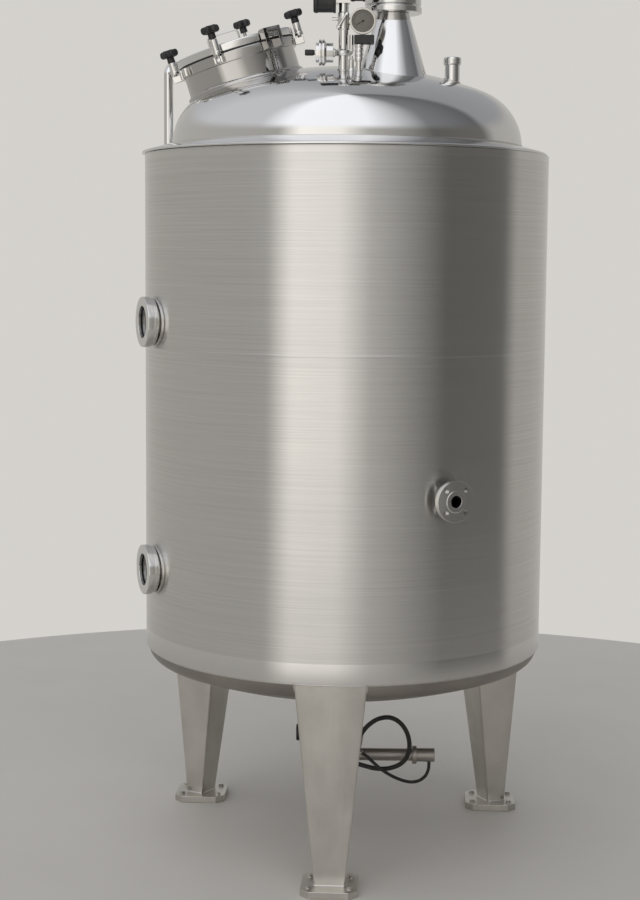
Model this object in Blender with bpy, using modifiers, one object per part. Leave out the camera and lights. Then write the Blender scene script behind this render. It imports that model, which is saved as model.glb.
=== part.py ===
"""Jacketed process tank: a dished vessel in a round jacket, on three tapered legs.

Metres, +Z up, the floor is z = 0 and the front leg faces -Y. Everything hangs on the empty
tank_axis, which puts the middle of the footprint on the world origin at the end.
"""

from math import asin, cos, pi, radians, sin, sqrt

import bmesh
import bpy
from mathutils import Matrix, Vector

# Fit of touching pieces
GAP = 0.0003

# Jacket and closing ring
JACKET_RADIUS = 0.600
JACKET_WALL = 0.006
JACKET_BOTTOM = 0.599
JACKET_TOP = 2.064
RING_EDGE = 0.006
RING_RISE = 0.022

# Inner vessel and its heads
VESSEL_RADIUS = 0.520
VESSEL_WALL = 0.005
VESSEL_TOP = 2.084
HEAD_SKIRT = 0.006
HEAD_CROWN = 1.150
HEAD_KNUCKLE = 0.170
HEAD_STEPS = (5, 8)
VESSEL_BOTTOM = 0.735
VESSEL_BOTTOM_CROWN = 1.300
VESSEL_BOTTOM_KNUCKLE = 0.080
BOTTOM_HEAD_CROWN = 1.600
BOTTOM_HEAD_KNUCKLE = 0.050
BOTTOM_HEAD_WALL = 0.006

# Legs and foot plates
LEG_AZIMUTHS = {"front": radians(-93.0), "right": radians(27.0), "left": radians(147.0)}
LEG_TOP_OUTER_RADIUS = 0.597
LEG_TOP_WIDTHS = (0.205, 0.130)
LEG_TOP_DEPTH = 0.158
LEG_FOOT_OUTER_RADIUS = 0.573
LEG_FOOT_WIDTHS = (0.089, 0.072)
LEG_FOOT_DEPTH = 0.056
LEG_FACE_POINTS = 9
FOOT_PLATE_SIZE = 0.160
FOOT_PLATE_CHAMFER = 0.024
FOOT_PLATE_THICKNESS = 0.020

# Manway
MANWAY_AZIMUTH = radians(187.0)
MANWAY_TILT = radians(17.5)
MANWAY_SEAM = Vector((-0.327, -0.040, 2.358))
COLLAR_RADIUS = 0.1675
COLLAR_WALL = 0.006
COLLAR_LENGTH = 0.150
COLLAR_FLANGE_RADIUS = 0.176
COLLAR_FLANGE_THICKNESS = 0.028
GASKET_THICKNESS = 0.004
LID_RADIUS = 0.177
LID_THICKNESS = 0.022
LID_RISE = 0.010
LID_CROWN_RADIUS = 0.100
LID_HANDLE_CENTRE = -0.024
LID_HANDLE_HALF_SPAN = 0.046
LID_HANDLE_HEIGHT = 0.034
LID_HANDLE_RADIUS = 0.003
LID_HANDLE_TURN = 0.012

# Swing bolts: angle round the manway and how far the knob sits from its pivot
SWING_BOLTS = ((-111.0, 0.062), (-8.0, 0.054), (72.5, 0.090), (168.0, 0.052))
PIVOT_RADIUS = 0.193
PIVOT_DROP = 0.018
EYE_RADIUS = 0.0095
EYE_HALF_WIDTH = 0.006
EYE_BORE = 0.0047
PIN_RADIUS = 0.0042
STUD_RADIUS = 0.006
SLEEVE_RADIUS = 0.0125
SLEEVE_START = 0.016
SLEEVE_END = 0.060
BRACKET_BACK = 0.004
BRACKET_HEIGHT = 0.020
CHEEK_HEIGHT = 0.018
CHEEK_INNER = 0.0068
CHEEK_OUTER = 0.0128
KNOB_HUB_HEIGHT = 0.016
KNOB_HEAD_HEIGHT = 0.021
KNOB_RADIUS = 0.0275
KNOB_LOBE = 0.003
KNOB_LOBES = 6

# Lid hinge, at the front of the manway
HINGE_ANGLE = -60.0
HINGE_PIVOT_RADIUS = 0.193
HINGE_PIVOT_HEIGHT = 0.020
HINGE_PIN_RADIUS = 0.006
HINGE_EYE_RADIUS = 0.013
HINGE_HALF_WIDTH = 0.030
HINGE_CHEEK = 0.012
HINGE_CHEEK_DEPTH = 0.022
HINGE_BACK = 0.006
HINGE_TONGUE_END = 0.157

# Side fittings with glass: heights are measured inwards from the face
SIGHT_AZIMUTH = radians(201.5)
SIGHT_HEIGHTS = {"upper": 1.575, "lower": 0.849}
SIGHT_FACE_RADIUS = 0.632
SIGHT_COVER_RADIUS = 0.073
SIGHT_COVER_DEPTH = 0.020
SIGHT_FLANGE_RADIUS = 0.069
SIGHT_FLANGE_DEPTH = 0.032
SIGHT_NECK_RADIUS = 0.058
SIGHT_NECK_DEPTH = 0.060
SIGHT_BORE_RADIUS = 0.046
SIGHT_GLASS_RADIUS = 0.050
SIGHT_GLASS_THICKNESS = 0.010

# Front flange
FLANGE_AZIMUTH = radians(-61.4)
FLANGE_HEIGHT = 1.105
FLANGE_FACE_RADIUS = 0.6435
FLANGE_RADIUS = 0.0575
FLANGE_THICKNESS = 0.016
FLANGE_RAISED_RADIUS = 0.030
FLANGE_RAISED_HEIGHT = 0.002
FLANGE_NECK_RADIUS = 0.024
FLANGE_NECK_DEPTH = 0.060
FLANGE_BORE = 0.017
FLANGE_HOLE_CIRCLE = 0.0425
FLANGE_HOLE_RADIUS = 0.007
FLANGE_HOLES = 4

# Riser on the top head, with its clamp, side valve, dial and actuator
RISER_PLACE = (-0.012, -0.280)
RISER_RADIUS = 0.0135
RISER_WALL = 0.002
RISER_TOP = 2.540
CLAMP_HEIGHT = 2.337
CLAMP_RADIUS = 0.024
CLAMP_HALF = 0.009
CLAMP_ARM_RADIUS = 0.009
CLAMP_ARM_REACH = 0.028
BYPASS_RADIUS = 0.006
BYPASS_REACH = 0.0225
BYPASS_TOP = 2.386
SIDE_VALVE_RADIUS = 0.036
SIDE_VALVE_DEPTH = 0.049
SIDE_KNOB_RADIUS = 0.0085
SIDE_KNOB_DEPTHS = (0.052, 0.080)
CROSS_HEIGHT = 2.4235
CROSS_RADIUS = 0.0165
CROSS_HALF = 0.025
CROSS_ARM_RADIUS = 0.010
CROSS_ARM_REACH = 0.030
DIAL_REACH = 0.054
DIAL_RADIUS = 0.037
DIAL_FACE_RADIUS = 0.031
DIAL_HALF = 0.014
DIAL_RECESS = 0.004
ACTUATORS = (("actuator_left", -0.085, -0.022, 0.032, 2.478), ("actuator_right", 0.018, 0.060, 0.020, 2.498))
ACTUATOR_BLOCK = (0.040, 0.032, 2.488)

# Ribbed nozzle beside the riser
RIBBED_PLACE = (0.032, -0.285)
RIBBED_NECK_RADIUS = 0.009
RIBBED_RADIUS = 0.0125
RIBBED_LOW = 2.312
RIBBED_HIGH = 2.362
RIBBED_RIBS = 4
RIBBED_GROOVE = 0.0015
RIBBED_HEAD_SIZE = (0.056, 0.036, 0.024)
RIBBED_HEAD_OFFSET = 0.014

# Stirrer cone
CONE_PLACE = (0.128, -0.205)
CONE_FOOT_RADIUS = 0.093
CONE_FOOT_BORE = 0.030
CONE_TOP_RADIUS = 0.046
CONE_TOP = 2.455
CONE_WALL = 0.005
DRIVE_RADIUS = 0.082
DRIVE_UPPER_RADIUS = 0.080
DRIVE_GROOVE_RADIUS = 0.070
DRIVE_BORE = 0.022
DRIVE_STEPS = (0.016, 0.021, 0.046)

# Vent nozzle and the jacket's gooseneck
VENT_PLACE = (0.303, -0.140)
VENT_RADIUS = 0.0215
VENT_WALL = 0.003
VENT_HEIGHT = 0.044
UNION_RADIUS = 0.0255
UNION_HEIGHT = 0.022
UNION_CHAMFER = 0.004
GOOSENECK_PLACE = (-0.545, 0.120)
GOOSENECK_HEADING = radians(50.0)
GOOSENECK_RADIUS = 0.014
GOOSENECK_RISE = 2.312
GOOSENECK_BEND = 0.030
GOOSENECK_END = 0.012

# Bottom outlet: pipe, valve and side branch
OUTLET_RADIUS = 0.045
OUTLET_WALL = 0.004
OUTLET_END = 0.385
OUTLET_FERRULE_RADIUS = 0.058
BRANCH_HEIGHT = 0.232
BRANCH_RADIUS = 0.019
BRANCH_END = 0.226
BRANCH_FERRULE = (0.028, 0.220, 0.234)
BRANCH_CAP = (0.021, 0.230, 0.290)
SENSOR_REACH = (-0.140, -0.070)
SENSOR_RADIUS = 0.026
SENSOR_HEIGHT = 0.300

# Two black hoses under the tank, held at both ends; the first gland leans up and outwards
HOSE_RADIUS = 0.007
HOSE_ROUTE = (
    (0.0503, -0.0724, 0.2945), (0.062, -0.089, 0.3225), (0.082, -0.103, 0.352), (0.112, -0.110, 0.374),
    (0.147, -0.107, 0.378), (0.178, -0.097, 0.360), (0.200, -0.084, 0.326), (0.209, -0.070, 0.285),
    (0.204, -0.058, 0.246), (0.184, -0.048, 0.217), (0.150, -0.040, 0.200), (0.112, -0.033, 0.196),
    (0.078, -0.026, 0.201), (0.054, -0.0195, 0.206), (0.0455, -0.017, 0.2075))
CABLE_RADIUS = 0.005
CABLE_ROUTE = (
    (0.066, -0.0555, 0.250), (0.078, -0.065, 0.2445), (0.094, -0.073, 0.232), (0.114, -0.077, 0.215),
    (0.137, -0.077, 0.198), (0.163, -0.072, 0.182), (0.191, -0.061, 0.168), (0.219, -0.046, 0.159),
    (0.243, -0.029, 0.159), (0.262, -0.013, 0.169), (0.271, -0.003, 0.185), (0.273, 0.0, 0.200),
    (0.273, 0.0, 0.2107))
GLAND_LENGTH = 0.034
GLAND_GROW = 0.003

# Segments of a full turn
STEPS_LARGE = 64
STEPS_MEDIUM = 36
STEPS_SMALL = 16


def clear_scene():
    for item in list(bpy.data.objects):
        bpy.data.objects.remove(item, do_unlink=True)


def make_collection(name):
    collection = bpy.data.collections.new(name)
    bpy.context.scene.collection.children.link(collection)
    return collection


clear_scene()
PARTS = make_collection("process_tank")
CUTTERS = make_collection("cutters")
TANK_AXIS = bpy.data.objects.new("tank_axis", None)
PARTS.objects.link(TANK_AXIS)


def make_material(name, colour, roughness, metallic):
    material = bpy.data.materials.new(name)
    material.use_nodes = True
    shader = material.node_tree.nodes["Principled BSDF"]
    shader.inputs["Base Color"].default_value = (*colour, 1.0)
    shader.inputs["Roughness"].default_value = roughness
    shader.inputs["Metallic"].default_value = metallic
    return material


def brushed():
    return make_material("brushed_steel", (0.62, 0.60, 0.57), 0.34, 1.0)


def polished():
    return make_material("polished_steel", (0.72, 0.71, 0.69), 0.10, 1.0)


def satin():
    return make_material("satin_steel", (0.55, 0.53, 0.51), 0.55, 1.0)


def black_plastic():
    return make_material("black_plastic", (0.015, 0.015, 0.015), 0.40, 0.0)


def black_rubber():
    return make_material("black_rubber", (0.020, 0.020, 0.020), 0.75, 0.0)


def dark_glass():
    return make_material("dark_glass", (0.020, 0.022, 0.022), 0.05, 0.0)


def add_object(name, data, collection=PARTS, parent=None):
    item = bpy.data.objects.new(name, data)
    collection.objects.link(item)
    item.parent = parent or TANK_AXIS
    return item


def add_frame(name, location, rotation=(0.0, 0.0, 0.0), parent=None):
    frame = add_object(name, None, PARTS, parent)
    frame.location = location
    frame.rotation_euler = rotation
    return frame


def set_look(item, material):
    item.data.materials.clear()
    item.data.materials.append(material)
    return item


def hide_cutter(item):
    item.hide_render = True
    item.display_type = "WIRE"
    return item


def mesh_from_bmesh(name, shape):
    mesh = bpy.data.meshes.new(name)
    shape.to_mesh(mesh)
    shape.free()
    return mesh


def dish_outline(radius, crown, knuckle, steps=(3, 5), end_radius=0.0):
    """Torispherical quarter outline from its rim inwards, as (radius, height) pairs."""
    centre = radius - knuckle
    lean = asin(centre / (crown - knuckle))
    sphere = -(crown - knuckle) * cos(lean)
    points = []
    for index in range(steps[0]):
        turn = (pi / 2 - lean) * index / steps[0]
        points.append((centre + knuckle * cos(turn), knuckle * sin(turn)))
    last = asin(end_radius / crown)
    for index in range(steps[1] + 1):
        turn = lean + (last - lean) * index / steps[1]
        points.append((crown * sin(turn), sphere + crown * cos(turn)))
    return points


def dish_height(radius, crown, knuckle, at_radius):
    """Height of the torispherical surface over its rim plane at a radius on its crown."""
    lean = asin((radius - knuckle) / (crown - knuckle))
    return sqrt(crown ** 2 - at_radius ** 2) - (crown - knuckle) * cos(lean)


def top_head_z(at_radius):
    return VESSEL_TOP + HEAD_SKIRT + dish_height(VESSEL_RADIUS, HEAD_CROWN, HEAD_KNUCKLE, at_radius)


def turn_profile(name, points, steps, closed=True, wall=0.0, collection=PARTS, parent=None):
    """A profile of (radius, height) points turned round local Z with a Screw modifier."""
    shape = bmesh.new()
    corners = [shape.verts.new((radius, 0.0, height)) for radius, height in points]
    for first, second in zip(corners, corners[1:]):
        shape.edges.new((first, second))
    if closed:
        shape.edges.new((corners[-1], corners[0]))
    item = add_object(name, mesh_from_bmesh(name, shape), collection, parent)
    screw = item.modifiers.new("turn", "SCREW")
    screw.axis = "Z"
    screw.angle = 2 * pi
    screw.steps = steps
    screw.render_steps = steps
    screw.use_merge_vertices = True
    screw.merge_threshold = 0.00001
    if wall:
        shell = item.modifiers.new("wall", "SOLIDIFY")
        shell.thickness = wall
        shell.offset = -1.0
    return item


def ring_points(inner, outer, low, high):
    """Closed profile of a plain ring: down the outside, up the inside."""
    return [(outer, high), (outer, low), (inner, low), (inner, high)]


def disc_points(radius, low, high):
    """Open profile of a plain disc, from the axis round the outside to the axis."""
    return [(0.0, high), (radius, high), (radius, low), (0.0, low)]


def add_box(name, size, centre, collection=PARTS, parent=None):
    shape = bmesh.new()
    bmesh.ops.create_cube(shape, size=1.0)
    bmesh.ops.scale(shape, vec=size, verts=shape.verts)
    bmesh.ops.translate(shape, vec=centre, verts=shape.verts)
    return add_object(name, mesh_from_bmesh(name, shape), collection, parent)


def add_cylinder(name, radius, length, matrix, steps, collection=PARTS, parent=None):
    """A capped cylinder along the matrix's Z axis, centred on its origin."""
    shape = bmesh.new()
    bmesh.ops.create_cone(shape, cap_ends=True, segments=steps, radius1=radius,
                          radius2=radius, depth=length, matrix=matrix)
    item = add_object(name, mesh_from_bmesh(name, shape), collection, parent)
    item.data.shade_smooth()
    item.data.set_sharp_from_angle(angle=radians(35.0))
    return item


def add_tube(name, points, radius, parent=None, sides=3, spline_type="POLY"):
    """A round bar along a route, as a curve with filled caps."""
    curve = bpy.data.curves.new(name, "CURVE")
    curve.dimensions = "3D"
    curve.bevel_depth = radius
    curve.bevel_resolution = sides
    curve.use_fill_caps = True
    spline = curve.splines.new(spline_type)
    spline.points.add(len(points) - 1)
    for knot, place in zip(spline.points, points):
        knot.co = (*place, 1.0)
    return add_object(name, curve, PARTS, parent)


def add_plate(name, outline, thickness, collection=PARTS, parent=None):
    """A flat outline of (x, y) points, centred on z = 0, as a filled 2D curve."""
    curve = bpy.data.curves.new(name, "CURVE")
    curve.dimensions = "2D"
    curve.fill_mode = "BOTH"
    curve.extrude = thickness / 2
    spline = curve.splines.new("POLY")
    spline.points.add(len(outline) - 1)
    for knot, (x, y) in zip(spline.points, outline):
        knot.co = (x, y, 0.0, 1.0)
    spline.use_cyclic_u = True
    return add_object(name, curve, collection, parent)


def to_mesh(item):
    """Replace an object by its evaluated mesh, with the caps of a curve welded on."""
    bpy.context.view_layer.update()
    graph = bpy.context.evaluated_depsgraph_get()
    mesh = bpy.data.meshes.new_from_object(item.evaluated_get(graph))
    shape = bmesh.new()
    shape.from_mesh(mesh)
    bmesh.ops.remove_doubles(shape, verts=shape.verts, dist=0.00001)
    bmesh.ops.recalc_face_normals(shape, faces=shape.faces)
    shape.to_mesh(mesh)
    shape.free()
    name = item.name
    collection = item.users_collection[0]
    parent = item.parent
    basis = item.matrix_basis.copy()
    bpy.data.objects.remove(item, do_unlink=True)
    made = add_object(name, mesh, collection, parent)
    made.matrix_basis = basis
    return made


def combine(item, others, operation):
    """Boolean each of the others into the item, with the exact solver."""
    for index, other in enumerate(others):
        cut = item.modifiers.new(f"{operation.lower()}_{index}", "BOOLEAN")
        cut.operation = operation
        cut.solver = "EXACT"
        cut.object = other
    return item


def cut(item, cutters):
    return combine(item, [hide_cutter(other) for other in cutters], "DIFFERENCE")


def fuse(item, others):
    return combine(item, [hide_cutter(other) for other in others], "UNION")


def polar(radius, azimuth, height=0.0):
    return Vector((radius * cos(azimuth), radius * sin(azimuth), height))


def facing_out(azimuth):
    """Rotation that turns local Z to a level direction at the azimuth."""
    return (0.0, pi / 2, azimuth)


def make_jacket():
    jacket = turn_profile("jacket_shell", [(JACKET_RADIUS, JACKET_TOP), (JACKET_RADIUS, JACKET_BOTTOM)],
                          STEPS_LARGE, closed=False, wall=JACKET_WALL)
    set_look(jacket, brushed())
    inner = VESSEL_RADIUS + GAP
    outer_low = JACKET_TOP + GAP
    ring = turn_profile("jacket_top_ring",
                        [(inner, outer_low + RING_EDGE + RING_RISE), (JACKET_RADIUS, outer_low + RING_EDGE),
                         (JACKET_RADIUS, outer_low), (JACKET_RADIUS - JACKET_WALL, outer_low),
                         (inner, outer_low + RING_RISE)], STEPS_LARGE)
    set_look(ring, polished())
    return jacket


def make_vessel():
    dish = dish_outline(VESSEL_RADIUS, VESSEL_BOTTOM_CROWN, VESSEL_BOTTOM_KNUCKLE, end_radius=OUTLET_RADIUS)
    profile = [(VESSEL_RADIUS, VESSEL_TOP - GAP)]
    profile += [(radius, VESSEL_BOTTOM - height) for radius, height in dish]
    vessel = turn_profile("inner_vessel", profile, STEPS_LARGE, closed=False, wall=VESSEL_WALL)
    set_look(vessel, satin())


def bottom_head_profile(grow=0.0, end_radius=0.0):
    skirt = JACKET_RADIUS - JACKET_WALL - GAP + grow
    dish = dish_outline(skirt, BOTTOM_HEAD_CROWN + grow, BOTTOM_HEAD_KNUCKLE + grow, end_radius=end_radius)
    return [(skirt, JACKET_BOTTOM + 0.020)] + [(radius, JACKET_BOTTOM - height) for radius, height in dish]


def make_bottom_head():
    head = turn_profile("jacket_bottom_head", bottom_head_profile(end_radius=OUTLET_RADIUS + GAP),
                        STEPS_LARGE, closed=False, wall=BOTTOM_HEAD_WALL)
    set_look(head, satin())


def leg_section(outer, depth, widths, height, curved):
    """Corners of a leg at one height; the outer face follows the jacket or lies flat."""
    half = widths[0] / 2
    points = []
    for index in range(LEG_FACE_POINTS):
        y = -half + 2 * half * index / (LEG_FACE_POINTS - 1)
        x = sqrt(outer ** 2 - y ** 2) if curved else outer
        points.append((x, y, height))
    back = outer - depth
    return points + [(back, widths[1] / 2, height), (back, -widths[1] / 2, height)]


def make_leg(side, azimuth):
    """A box that tapers downwards, its top cut to the curve of the bottom head."""
    low = leg_section(LEG_FOOT_OUTER_RADIUS, LEG_FOOT_DEPTH, LEG_FOOT_WIDTHS, FOOT_PLATE_THICKNESS + GAP, False)
    high = leg_section(LEG_TOP_OUTER_RADIUS, LEG_TOP_DEPTH, LEG_TOP_WIDTHS, JACKET_BOTTOM - GAP, True)
    shape = bmesh.new()
    rows = [[shape.verts.new(place) for place in row] for row in (low, high)]
    for index in range(len(low)):
        after = (index + 1) % len(low)
        shape.faces.new((rows[0][index], rows[0][after], rows[1][after], rows[1][index]))
    shape.faces.new(list(reversed(rows[0])))
    shape.faces.new(rows[1])
    leg = add_object(f"leg_{side}", mesh_from_bmesh(f"leg_{side}", shape))
    leg.rotation_euler = (0.0, 0.0, azimuth)
    closing = [(0.0, JACKET_BOTTOM + 0.020)]
    cutter = turn_profile(f"cut_leg_{side}", closing + bottom_head_profile(grow=GAP), STEPS_LARGE,
                          closed=False, collection=CUTTERS)
    set_look(leg, satin())
    return cut(leg, [cutter])


def make_foot_plate(side, azimuth):
    half = FOOT_PLATE_SIZE / 2
    short = half - FOOT_PLATE_CHAMFER
    outline = [(half, -short), (half, short), (short, half), (-short, half),
               (-half, short), (-half, -short), (-short, -half), (short, -half)]
    plate = add_plate(f"foot_plate_{side}", outline, FOOT_PLATE_THICKNESS)
    centre = LEG_FOOT_OUTER_RADIUS - LEG_FOOT_DEPTH / 2
    plate.location = polar(centre, azimuth, FOOT_PLATE_THICKNESS / 2)
    plate.rotation_euler = (0.0, 0.0, LEG_AZIMUTHS["front"])
    return set_look(plate, satin())


def top_head_solid(name):
    """Closed form of the top head, a gap larger, which trims what stands on it."""
    dish = dish_outline(VESSEL_RADIUS + GAP, HEAD_CROWN + GAP, HEAD_KNUCKLE + GAP, HEAD_STEPS)
    rim = VESSEL_TOP + HEAD_SKIRT
    profile = [(radius, rim + height) for radius, height in reversed(dish)]
    profile += [(VESSEL_RADIUS + GAP, rim - 0.2), (0.0, rim - 0.2)]
    return turn_profile(name, profile, STEPS_LARGE, closed=False, collection=CUTTERS)


def make_top_head(manway):
    dish = dish_outline(VESSEL_RADIUS, HEAD_CROWN, HEAD_KNUCKLE, HEAD_STEPS)
    profile = [(radius, VESSEL_TOP + HEAD_SKIRT + height) for radius, height in reversed(dish)]
    profile.append((VESSEL_RADIUS, VESSEL_TOP))
    head = turn_profile("top_head", profile, STEPS_LARGE, closed=False, wall=VESSEL_WALL)
    set_look(head, polished())
    below = Matrix.Translation((0, 0, -0.1))
    mouth = add_cylinder("cut_manway_mouth", COLLAR_RADIUS - COLLAR_WALL, 0.4, below, STEPS_MEDIUM, CUTTERS, manway)
    holes = [mouth]
    for name, place, radius in (("riser", RISER_PLACE, RISER_RADIUS - RISER_WALL),
                                ("vent", VENT_PLACE, VENT_RADIUS - VENT_WALL),
                                ("shaft", CONE_PLACE, CONE_FOOT_BORE)):
        matrix = Matrix.Translation((*place, top_head_z(0.0)))
        holes.append(add_cylinder(f"cut_{name}_hole", radius, 0.3, matrix, STEPS_SMALL, CUTTERS))
    cut(head, holes)


def make_manway_frame():
    return add_frame("manway_frame", MANWAY_SEAM, (0.0, -MANWAY_TILT, MANWAY_AZIMUTH - pi))


def make_collar(manway):
    inner = COLLAR_RADIUS - COLLAR_WALL
    profile = [(COLLAR_FLANGE_RADIUS, 0.0), (COLLAR_FLANGE_RADIUS, -COLLAR_FLANGE_THICKNESS),
               (COLLAR_RADIUS, -COLLAR_FLANGE_THICKNESS), (COLLAR_RADIUS, -COLLAR_LENGTH),
               (inner, -COLLAR_LENGTH), (inner, 0.0)]
    collar = turn_profile("manway_collar", profile, STEPS_LARGE, parent=manway)
    set_look(collar, polished())
    cut(collar, [top_head_solid("cut_collar_foot")])
    outline = ring_points(inner, COLLAR_FLANGE_RADIUS - 0.004, GAP, GASKET_THICKNESS)
    gasket = turn_profile("manway_gasket", outline, STEPS_MEDIUM, parent=manway)
    set_look(gasket, black_rubber())


def lid_profile(grow=0.0):
    low = GASKET_THICKNESS + GAP
    edge = low + LID_THICKNESS + grow
    return [(0.0, edge + LID_RISE), (LID_CROWN_RADIUS, edge + 0.7 * LID_RISE), (LID_RADIUS - 0.012, edge),
            (LID_RADIUS + grow, edge), (LID_RADIUS + grow, low - grow), (0.0, low - grow)]


def lid_height(radius):
    """Height of the lid's top at a radius inside its raised middle."""
    middle = lid_profile()[0][1]
    return middle - 0.3 * LID_RISE * radius / LID_CROWN_RADIUS


def make_lid(manway):
    lid = turn_profile("manway_lid", lid_profile(), STEPS_LARGE, closed=False, parent=manway)
    set_look(lid, polished())
    top = lid_profile()[0][1] + LID_HANDLE_HEIGHT
    route = []
    for side in (-1.0, 1.0):
        foot_x = LID_HANDLE_CENTRE + side * LID_HANDLE_HALF_SPAN
        rise = [(foot_x, 0.0, lid_height(abs(foot_x) - LID_HANDLE_RADIUS) + GAP)]
        for index in range(7):
            angle = pi / 2 * index / 6
            inwards = LID_HANDLE_TURN * (1 - cos(angle))
            rise.append((foot_x - side * inwards, 0.0, top - LID_HANDLE_TURN * (1 - sin(angle))))
        route += rise if side < 0 else rise[::-1]
    handle = add_tube("lid_handle", route, LID_HANDLE_RADIUS, manway)
    set_look(handle, polished())


def cross_place(reach, height, y=0.0):
    """Matrix that lays a cylinder along X, centred at (reach, y, height)."""
    return Matrix.Translation((reach, y, height)) @ Matrix.Rotation(pi / 2, 4, "Y")


def make_lid_hinge(manway):
    """Two cheeks and a pin on the collar, and the strap that the lid hangs from."""
    frame = add_frame("hinge_frame", (0.0, 0.0, 0.0), (0.0, 0.0, radians(HINGE_ANGLE)), manway)
    back = COLLAR_FLANGE_RADIUS + GAP
    base_low = -COLLAR_FLANGE_THICKNESS + 0.002
    base_high = -0.002
    bracket = add_box("lid_hinge_bracket", (HINGE_BACK, 2 * HINGE_HALF_WIDTH, base_high - base_low),
                      (back + HINGE_BACK / 2, 0.0, (base_low + base_high) / 2), parent=frame)
    set_look(bracket, polished())
    pieces = []
    top = HINGE_PIVOT_HEIGHT + HINGE_PIN_RADIUS + 0.006
    for side in (-1.0, 1.0):
        middle = side * (HINGE_HALF_WIDTH - HINGE_CHEEK / 2)
        centre = (back + 0.004 + HINGE_CHEEK_DEPTH / 2, middle, (top + base_low) / 2)
        pieces.append(add_box("add_hinge_cheek", (HINGE_CHEEK_DEPTH, HINGE_CHEEK, top - base_low), centre,
                              CUTTERS, frame))
    pivot = Matrix.Translation((HINGE_PIVOT_RADIUS, 0.0, HINGE_PIVOT_HEIGHT))
    level = pivot @ Matrix.Rotation(pi / 2, 4, "X")
    pin_length = 2 * HINGE_HALF_WIDTH - HINGE_CHEEK / 2
    pin = add_cylinder("add_hinge_pin", HINGE_PIN_RADIUS, pin_length, level, STEPS_SMALL, CUTTERS, frame)
    fuse(bracket, pieces + [pin])

    eye_half = HINGE_HALF_WIDTH - HINGE_CHEEK - 0.001
    strap = add_cylinder("lid_hinge_strap", HINGE_EYE_RADIUS, 2 * eye_half, level, STEPS_SMALL,
                         parent=frame)
    set_look(strap, polished())
    low = lid_profile()[-1][1] + LID_THICKNESS + GAP
    high = HINGE_PIVOT_HEIGHT + HINGE_EYE_RADIUS - 0.001
    length = HINGE_PIVOT_RADIUS + HINGE_PIN_RADIUS + 0.002 - HINGE_TONGUE_END
    tongue = add_box("add_hinge_tongue", (length, 2 * eye_half, high - low),
                     (HINGE_TONGUE_END + length / 2, 0.0, (high + low) / 2), CUTTERS, frame)
    fuse(strap, [tongue])
    bore = add_cylinder("cut_hinge_bore", HINGE_PIN_RADIUS + 0.0005, 0.1, level, STEPS_SMALL,
                        CUTTERS, frame)
    clear_lid = turn_profile("cut_hinge_lid", lid_profile(GAP), STEPS_LARGE, closed=False,
                             collection=CUTTERS, parent=manway)
    cut(strap, [bore, clear_lid])


def knob_outline():
    """Star outline: a circle with six shallow lobes."""
    points = []
    count = 6 * KNOB_LOBES
    for index in range(count):
        turn = 2 * pi * index / count
        radius = KNOB_RADIUS - KNOB_LOBE + KNOB_LOBE * cos(KNOB_LOBES * turn)
        points.append((radius * cos(turn), radius * sin(turn)))
    return points


def make_swing_bracket(number, pivot):
    """Back plate, two cheeks and the pin that the eye bolt swings on."""
    back = COLLAR_FLANGE_RADIUS + GAP - PIVOT_RADIUS
    middle = back + BRACKET_BACK / 2
    bracket = add_box(f"swing_bolt_bracket_{number}", (BRACKET_BACK, 2 * CHEEK_OUTER, BRACKET_HEIGHT),
                      (middle, 0.0, 0.002), parent=pivot)
    set_look(bracket, polished())
    across = Matrix.Rotation(pi / 2, 4, "X")
    pieces = []
    for side in (-1.0, 1.0):
        place = ((EYE_RADIUS + middle) / 2, side * (CHEEK_INNER + CHEEK_OUTER) / 2, 0.001)
        size = (EYE_RADIUS - middle, CHEEK_OUTER - CHEEK_INNER, CHEEK_HEIGHT)
        pieces.append(add_box("add_cheek", size, place, CUTTERS, pivot))
    length = 2 * CHEEK_OUTER - 0.002
    fuse(bracket, pieces + [add_cylinder("add_pin", PIN_RADIUS, length, across, STEPS_SMALL, CUTTERS, pivot)])


def make_swing_bolt(number, reach, pivot):
    """Eye, stud and sleeve nut, as one piece."""
    across = Matrix.Rotation(pi / 2, 4, "X")
    bolt = add_cylinder(f"swing_bolt_{number}", EYE_RADIUS, 2 * EYE_HALF_WIDTH, across, STEPS_SMALL,
                        parent=pivot)
    set_look(bolt, polished())
    low = (EYE_BORE + EYE_RADIUS) / 2
    high = reach + KNOB_HUB_HEIGHT
    stud = add_cylinder("add_stud", STUD_RADIUS, high - low, Matrix.Translation((0, 0, (low + high) / 2)),
                        STEPS_SMALL, CUTTERS, pivot)
    sleeve_high = min(reach, SLEEVE_END)
    place = Matrix.Translation((0, 0, (SLEEVE_START + sleeve_high) / 2))
    sleeve = add_cylinder("add_sleeve", SLEEVE_RADIUS, sleeve_high - SLEEVE_START, place, STEPS_SMALL,
                          CUTTERS, pivot)
    fuse(bolt, [stud, sleeve])
    cut(bolt, [add_cylinder("cut_eye", EYE_BORE, 0.1, across, STEPS_SMALL, CUTTERS, pivot)])


def make_bolt_knob(number, reach, pivot):
    """Star head on a round hub, bored for the stud."""
    seat = reach + GAP
    head = to_mesh(add_plate(f"bolt_knob_{number}", knob_outline(), KNOB_HEAD_HEIGHT, parent=pivot))
    head.location = (0.0, 0.0, seat + KNOB_HUB_HEIGHT + KNOB_HEAD_HEIGHT / 2)
    set_look(head, black_plastic())
    hub_height = KNOB_HUB_HEIGHT + 0.004
    place = Matrix.Translation((0, 0, seat + hub_height / 2))
    hub = add_cylinder("add_hub", SLEEVE_RADIUS, hub_height, place, STEPS_SMALL, CUTTERS, pivot)
    fuse(head, [hub])
    cut(head, [add_cylinder("cut_knob_bore", STUD_RADIUS + GAP, 2 * KNOB_HUB_HEIGHT,
                            Matrix.Translation((0, 0, seat)), STEPS_SMALL, CUTTERS, pivot)])


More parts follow.
